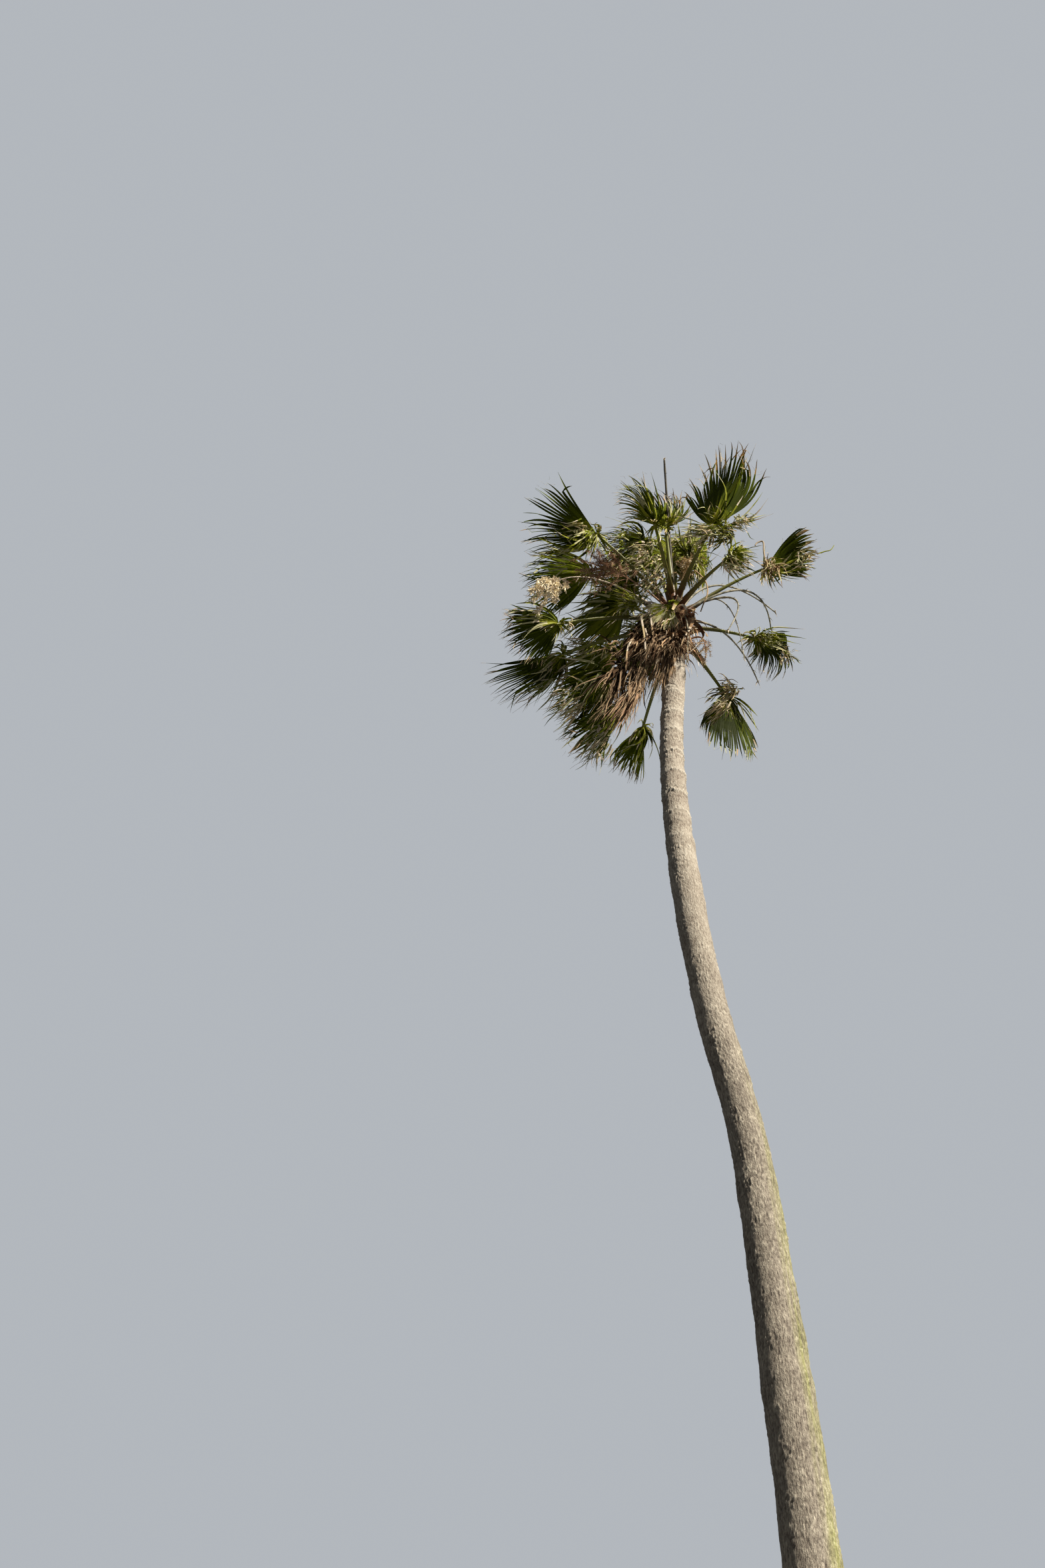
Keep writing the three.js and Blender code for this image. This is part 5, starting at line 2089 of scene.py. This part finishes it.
# The curled strips and broken sticks under and beside the crown. The pale strips beside the head are partly
# the torn bases' own pale fibre and partly painted sunlight.
RIBBONS = (
    Ribbon(((-0.44, -0.26, 22.05), (-0.42, -0.27, 22.14), (-0.4, -0.28, 22.2), (-0.37, -0.28, 22.25)),
           (0.09, 0.08), (Tint.RUST, Tint.CLAY, Tint.RUST)),
    Ribbon(((-0.46, -0.3, 22.11), (-0.45, -0.31, 22.18), (-0.4, -0.32, 22.22), (-0.36, -0.32, 22.17),
            (-0.35, -0.31, 22.08), (-0.41, -0.3, 22.0)), (0.022, 0.036), (Tint.CLAY, Tint.BARE, Tint.CLAY)),
    Ribbon(((-0.28, -0.22, 22.23), (-0.3, -0.25, 22.04), (-0.35, -0.27, 21.88)), (0.075, 0.05),
           (Tint.RUST, Tint.CLAY, Tint.TAN)),
    Ribbon(((-0.27, -0.26, 22.07), (-0.3, -0.3, 21.88), (-0.35, -0.32, 21.71), (-0.41, -0.33, 21.55),
            (-0.45, -0.33, 21.4)), (0.046, 0.008), (Tint.CLAY, Tint.BARE, Tint.TAN)),
    Ribbon(((-0.3, -0.18, 22.11), (-0.23, -0.22, 21.96), (-0.19, -0.26, 21.78), (-0.19, -0.28, 21.64),
            (-0.25, -0.3, 21.49), (-0.33, -0.32, 21.33), (-0.43, -0.33, 21.2)), (0.060, 0.012),
           (Tint.DRY, Tint.RUST, Tint.RUST, Tint.TAN, Tint.BARE, Tint.TAN)),
    Ribbon(((-0.79, -0.12, 22.2), (-0.9, -0.16, 21.9), (-0.97, -0.18, 21.64), (-1.0, -0.18, 21.43)),
           (0.14, 0.09), (Tint.UMBER, Tint.RUST, Tint.UMBER)),
    Ribbon(((-0.86, -0.18, 21.97), (-0.94, -0.21, 21.77), (-1.01, -0.22, 21.59), (-1.04, -0.22, 21.41),
            (-1.05, -0.22, 21.25)), (0.018, 0.026), (Tint.TAN, Tint.BARE, Tint.TAN)),
    Ribbon(((-0.87, -0.34, 21.98), (-0.86, -0.36, 21.76), (-0.85, -0.37, 21.5), (-0.85, -0.37, 21.27)),
           (0.024, 0.018), (Tint.BARE, Tint.STRAW, Tint.BARE)),
    Ribbon(((-0.76, -0.33, 22.17), (-0.76, -0.34, 21.92), (-0.75, -0.34, 21.59)), (0.014, 0.024),
           (Tint.TAN, Tint.BARE, Tint.TAN)),
    Ribbon(((-0.83, -0.32, 21.75), (-0.82, -0.33, 21.64), (-0.8, -0.32, 21.54)), (0.016, 0.016),
           (Tint.BARE,)),
    Ribbon(((-0.81, -0.3, 22.29), (-0.74, -0.31, 22.29), (-0.65, -0.31, 22.23), (-0.62, -0.3, 22.19)),
           (0.022, 0.014), (Tint.BARE, Tint.SHEEN)),
    Ribbon(((-0.81, -0.3, 22.04), (-0.76, -0.31, 22.11), (-0.69, -0.31, 22.14)), (0.022, 0.012),
           (Tint.BARE,)),
    Ribbon(((-0.78, -0.31, 22.18), (-0.72, -0.31, 22.23), (-0.67, -0.3, 22.21)), (0.014, 0.014),
           (Tint.CREAM,)),
    Ribbon(((-0.66, -0.3, 22.89), (-0.66, -0.29, 22.68), (-0.64, -0.27, 22.48), (-0.62, -0.25, 22.33)),
           (0.022, 0.014), (Tint.TAN,), True),
    Ribbon(((-0.86, -0.3, 22.7), (-0.9, -0.3, 22.69), (-0.91, -0.29, 22.61), (-0.92, -0.28, 22.48)),
           (0.020, 0.016), (Tint.TAN,), True),
    Ribbon(((-0.19, -0.22, 23.09), (-0.11, -0.26, 22.87), (-0.08, -0.28, 22.69), (-0.09, -0.3, 22.47),
            (-0.15, -0.31, 22.25), (-0.19, -0.31, 22.1)), (0.020, 0.014), (Tint.TAN,), True),
    Ribbon(((-0.43, 0.06, 22.2), (-0.28, 0.22, 22.24), (-0.17, 0.4, 22.29), (-0.09, 0.53, 22.31)),
           (0.070, 0.040), (Tint.RUST, Tint.DRY, Tint.RUST, Tint.CLAY), nearer=0.03),
    Ribbon(((-0.41, -0.4, 22.26), (-0.44, -0.42, 22.17), (-0.48, -0.44, 22.06),
            (-0.52, -0.46, 21.92)), (0.064, 0.030), (Tint.STRAW, Tint.GLOW, Tint.STRAW), nearer=0.06),
    Ribbon(((0.55, -0.28, 23.55), (0.58, -0.28, 23.61), (0.65, -0.28, 23.63),
            (0.64, -0.28, 23.41), (0.64, -0.28, 23.18)), (0.016, 0.024), (Tint.ASH,), True, nearer=0),
    Ribbon(((1.27, -0.25, 23.41), (1.36, -0.25, 23.46), (1.44, -0.25, 23.5),
            (1.49, -0.25, 23.6)), (0.016, 0.008), (Tint.FRESH,), True, nearer=0),
)


@dataclass
class LooseStrips:
    """What hangs loose in the crown."""

    tufts: dict[str, tuple[Tuft, ...]] = field(default_factory=lambda: {"skirt_tufts": SKIRT,
                                                                        "hub_tuft": HUB_TUFTS})
    ribbons: tuple[Ribbon, ...] = RIBBONS
    seed: int = 31

    def build(self) -> None:
        """Build the tufts, the curled strips and the sticks."""
        for name, tufts in self.tufts.items():
            rng = random.Random(self.seed)
            piece = Piece(name, Slot.DEAD_LEAF)
            for tuft in tufts:
                piece.add(tuft.strips(rng))
            piece.finish()
        curled = Piece("curled_strips", Slot.DEAD_LEAF)
        for ribbon in self.ribbons:
            curled.add([ribbon.loft()])
        curled.finish(smooth=True)


@dataclass
class Studio:
    """The camera at the photograph's angle, a soft key lamp, a pale surround and a pale floor."""

    eye: Vector = field(default_factory=lambda: Vector((-2.20, -14.0, 1.6)))
    pitch: float = 51.74
    lens: float = 50
    sensor: float = 36
    sight: float = 1000
    lamp_way: Way = Way(-42, 31)
    lamp_strength: float = 6.2
    lamp_softness: float = 3.5
    lamp_colour: Triple = (1.0, 0.94, 0.84)
    surround: Triple = (0.66, 0.70, 0.75)
    shown: float = 0.68
    lit: float = 0.13
    floor_side: float = 18
    floor_gap: float = 0.002

    def add_camera(self) -> None:
        """Set the camera, looking along +Y and up."""
        data = bpy.data.cameras.new("camera")
        data.lens = self.lens
        data.sensor_width = self.sensor
        data.clip_end = self.sight
        camera = bpy.data.objects.new("camera", data)
        camera.location = self.eye
        camera.rotation_euler = (math.radians(90 + self.pitch), 0, 0)
        bpy.context.scene.collection.objects.link(camera)
        bpy.context.scene.camera = camera

    def add_lamp(self) -> None:
        """Set the distant soft lamp."""
        data = bpy.data.lights.new("key", "SUN")
        data.energy = self.lamp_strength
        data.angle = math.radians(self.lamp_softness)
        data.color = self.lamp_colour
        lamp = bpy.data.objects.new("key", data)
        lamp.rotation_euler = self.lamp_way.vector().to_track_quat("Z", "Y").to_euler()
        bpy.context.scene.collection.objects.link(lamp)

    def add_surround(self) -> None:
        """Light everything evenly from a pale surround, which is shown brighter than it lights."""
        world = bpy.data.worlds.new("surround")
        world.use_nodes = True
        nodes = Nodes(world.node_tree)
        background = world.node_tree.nodes["Background"]
        background.inputs["Color"].default_value = (*self.surround, 1)
        seen = nodes.add("ShaderNodeLightPath", "Is Camera Ray", {})
        inputs = {"To Min": self.lit, "To Max": self.shown, "Value": seen}
        strength = nodes.add("ShaderNodeMapRange", "Result", inputs)
        world.node_tree.links.new(strength, background.inputs["Strength"])
        bpy.context.scene.world = world

    def add_floor(self) -> None:
        """Lay the pale floor."""
        bm = bmesh.new()
        bmesh.ops.create_grid(bm, x_segments=4, y_segments=4, size=self.floor_side / 2)
        bmesh.ops.translate(bm, verts=bm.verts[:], vec=(0, 0, -self.floor_gap))
        mesh = bpy.data.meshes.new("floor")
        bm.to_mesh(mesh)
        bm.free()
        mesh.materials.append(PALE_FLOOR.make("pale_floor"))
        floor = bpy.data.objects.new("floor", mesh)
        bpy.context.scene.collection.objects.link(floor)

    def build(self) -> None:
        """Set up the whole studio."""
        bpy.context.scene.view_settings.view_transform = "Standard"
        self.add_camera()
        self.add_lamp()
        self.add_surround()
        self.add_floor()


def main() -> None:
    """Build the studio and the palm, piece by piece."""
    logging.basicConfig(level=logging.INFO, format="%(name)s: %(message)s")
    noise.seed_set(GUST_SEED)
    for part in (Studio(), Stem(), Head(), Foliage(), Flowers(), LooseStrips()):
        LOG.info("building the %s", type(part).__name__)
        part.build()


if __name__ == "__main__":
    main()
